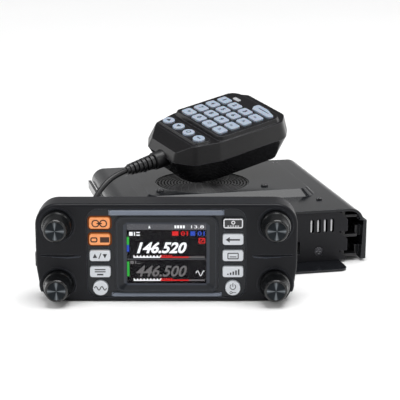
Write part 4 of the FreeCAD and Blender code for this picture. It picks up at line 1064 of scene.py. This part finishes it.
def mic_symbols():
    """Arrows, a ring and a bar on the four small keys, a longer bar on the wide one."""
    up = [[(-1.3, -0.7), (1.3, -0.7), (0, 1.2)]]
    down = [[(-1.3, 0.7), (0, -1.2), (1.3, 0.7)]]
    ring = arc((0, 0), 0.9, 0.4, 0, 360, 20)
    short_bar = [bar(-1.2, -0.3, 1.2, 0.3)]
    for number, outlines in enumerate((up, down, ring, short_bar), 1):
        symbol("small_key_%d" % number, mic_face, outlines, ink_blue, size=1.35)
    symbol("wide_key", mic_face, [bar(-4.0, -0.3, 4.0, 0.3)], ink_blue)


keypad_figures()
mic_symbols()


# ---------------------------------------------------------------- floor and light

FLOOR_REACH = 40.0
FLOOR_LEVEL = -0.2 * mm


def floor():
    """A wide sheet of pale paper just under the object."""
    paper = finish_of("floor_paper", (0.88, 0.88, 0.88), (0.91, 0.91, 0.91), 0.9, patch=3.0, grain=400.0,
                      edge=0.0)
    corners = bar(-FLOOR_REACH, -FLOOR_REACH, FLOOR_REACH, FLOOR_REACH)
    mesh = bpy.data.meshes.new("floor")
    mesh.from_pydata([(x, y, FLOOR_LEVEL) for x, y in corners], [], [[0, 1, 2, 3]])
    mesh.materials.append(paper)
    plane = bpy.data.objects.new("floor", mesh)
    scene.collection.objects.link(plane)


def add_light(name, kind, energy, towards):
    """A light that shines along a direction."""
    data = bpy.data.lights.new(name, kind)
    data.energy = energy
    light = bpy.data.objects.new(name, data)
    scene.collection.objects.link(light)
    light.rotation_mode = "QUATERNION"
    light.rotation_quaternion = Vector(towards).to_track_quat("-Z", "Y")
    return light


def softbox(name, place, target, size, power):
    """A rectangular light that faces a target."""
    light = add_light(name, "AREA", power, Vector(target) - Vector(place))
    light.location = place
    light.data.shape = "RECTANGLE"
    light.data.size, light.data.size_y = size


def surround():
    """A white world that darkens from just above the horizon upwards."""
    world = bpy.data.worlds.new("studio")
    world.use_nodes = True
    nodes, links = world.node_tree.nodes, world.node_tree.links
    place = nodes.new("ShaderNodeTexCoord")
    parts = nodes.new("ShaderNodeSeparateXYZ")
    links.new(place.outputs["Generated"], parts.inputs["Vector"])
    height = nodes.new("ShaderNodeMapRange")
    height.inputs["From Min"].default_value = 0.08
    height.inputs["From Max"].default_value = 0.42
    height.inputs["To Min"].default_value = 0.62
    height.inputs["To Max"].default_value = 0.14
    links.new(parts.outputs["Z"], height.inputs["Value"])
    links.new(height.outputs["Result"], nodes["Background"].inputs["Strength"])
    nodes["Background"].inputs["Color"].default_value = (1.0, 1.0, 1.0, 1.0)
    scene.world = world


def studio():
    """One broad ceiling light, two softboxes in front and one behind each side."""
    ceiling = add_light("ceiling", "SUN", 2.8, (-0.1, 0.08, -0.99))
    ceiling.data.angle = math.radians(45)
    softbox("key", (-0.7, -0.5, 0.7), (0, -0.05, 0.03), (0.5, 0.5), 2.5)
    softbox("fill", (0.7, -0.6, 0.5), (0.05, -0.05, 0.02), (0.4, 0.6), 1.5)
    softbox("right_rim", (0.9, 0.35, 0.45), (0.05, 0, 0.08), (0.4, 0.9), 2.0)
    softbox("left_rim", (-0.9, 0.35, 0.45), (-0.05, 0, 0.08), (0.4, 0.9), 2.0)


floor()
surround()
studio()
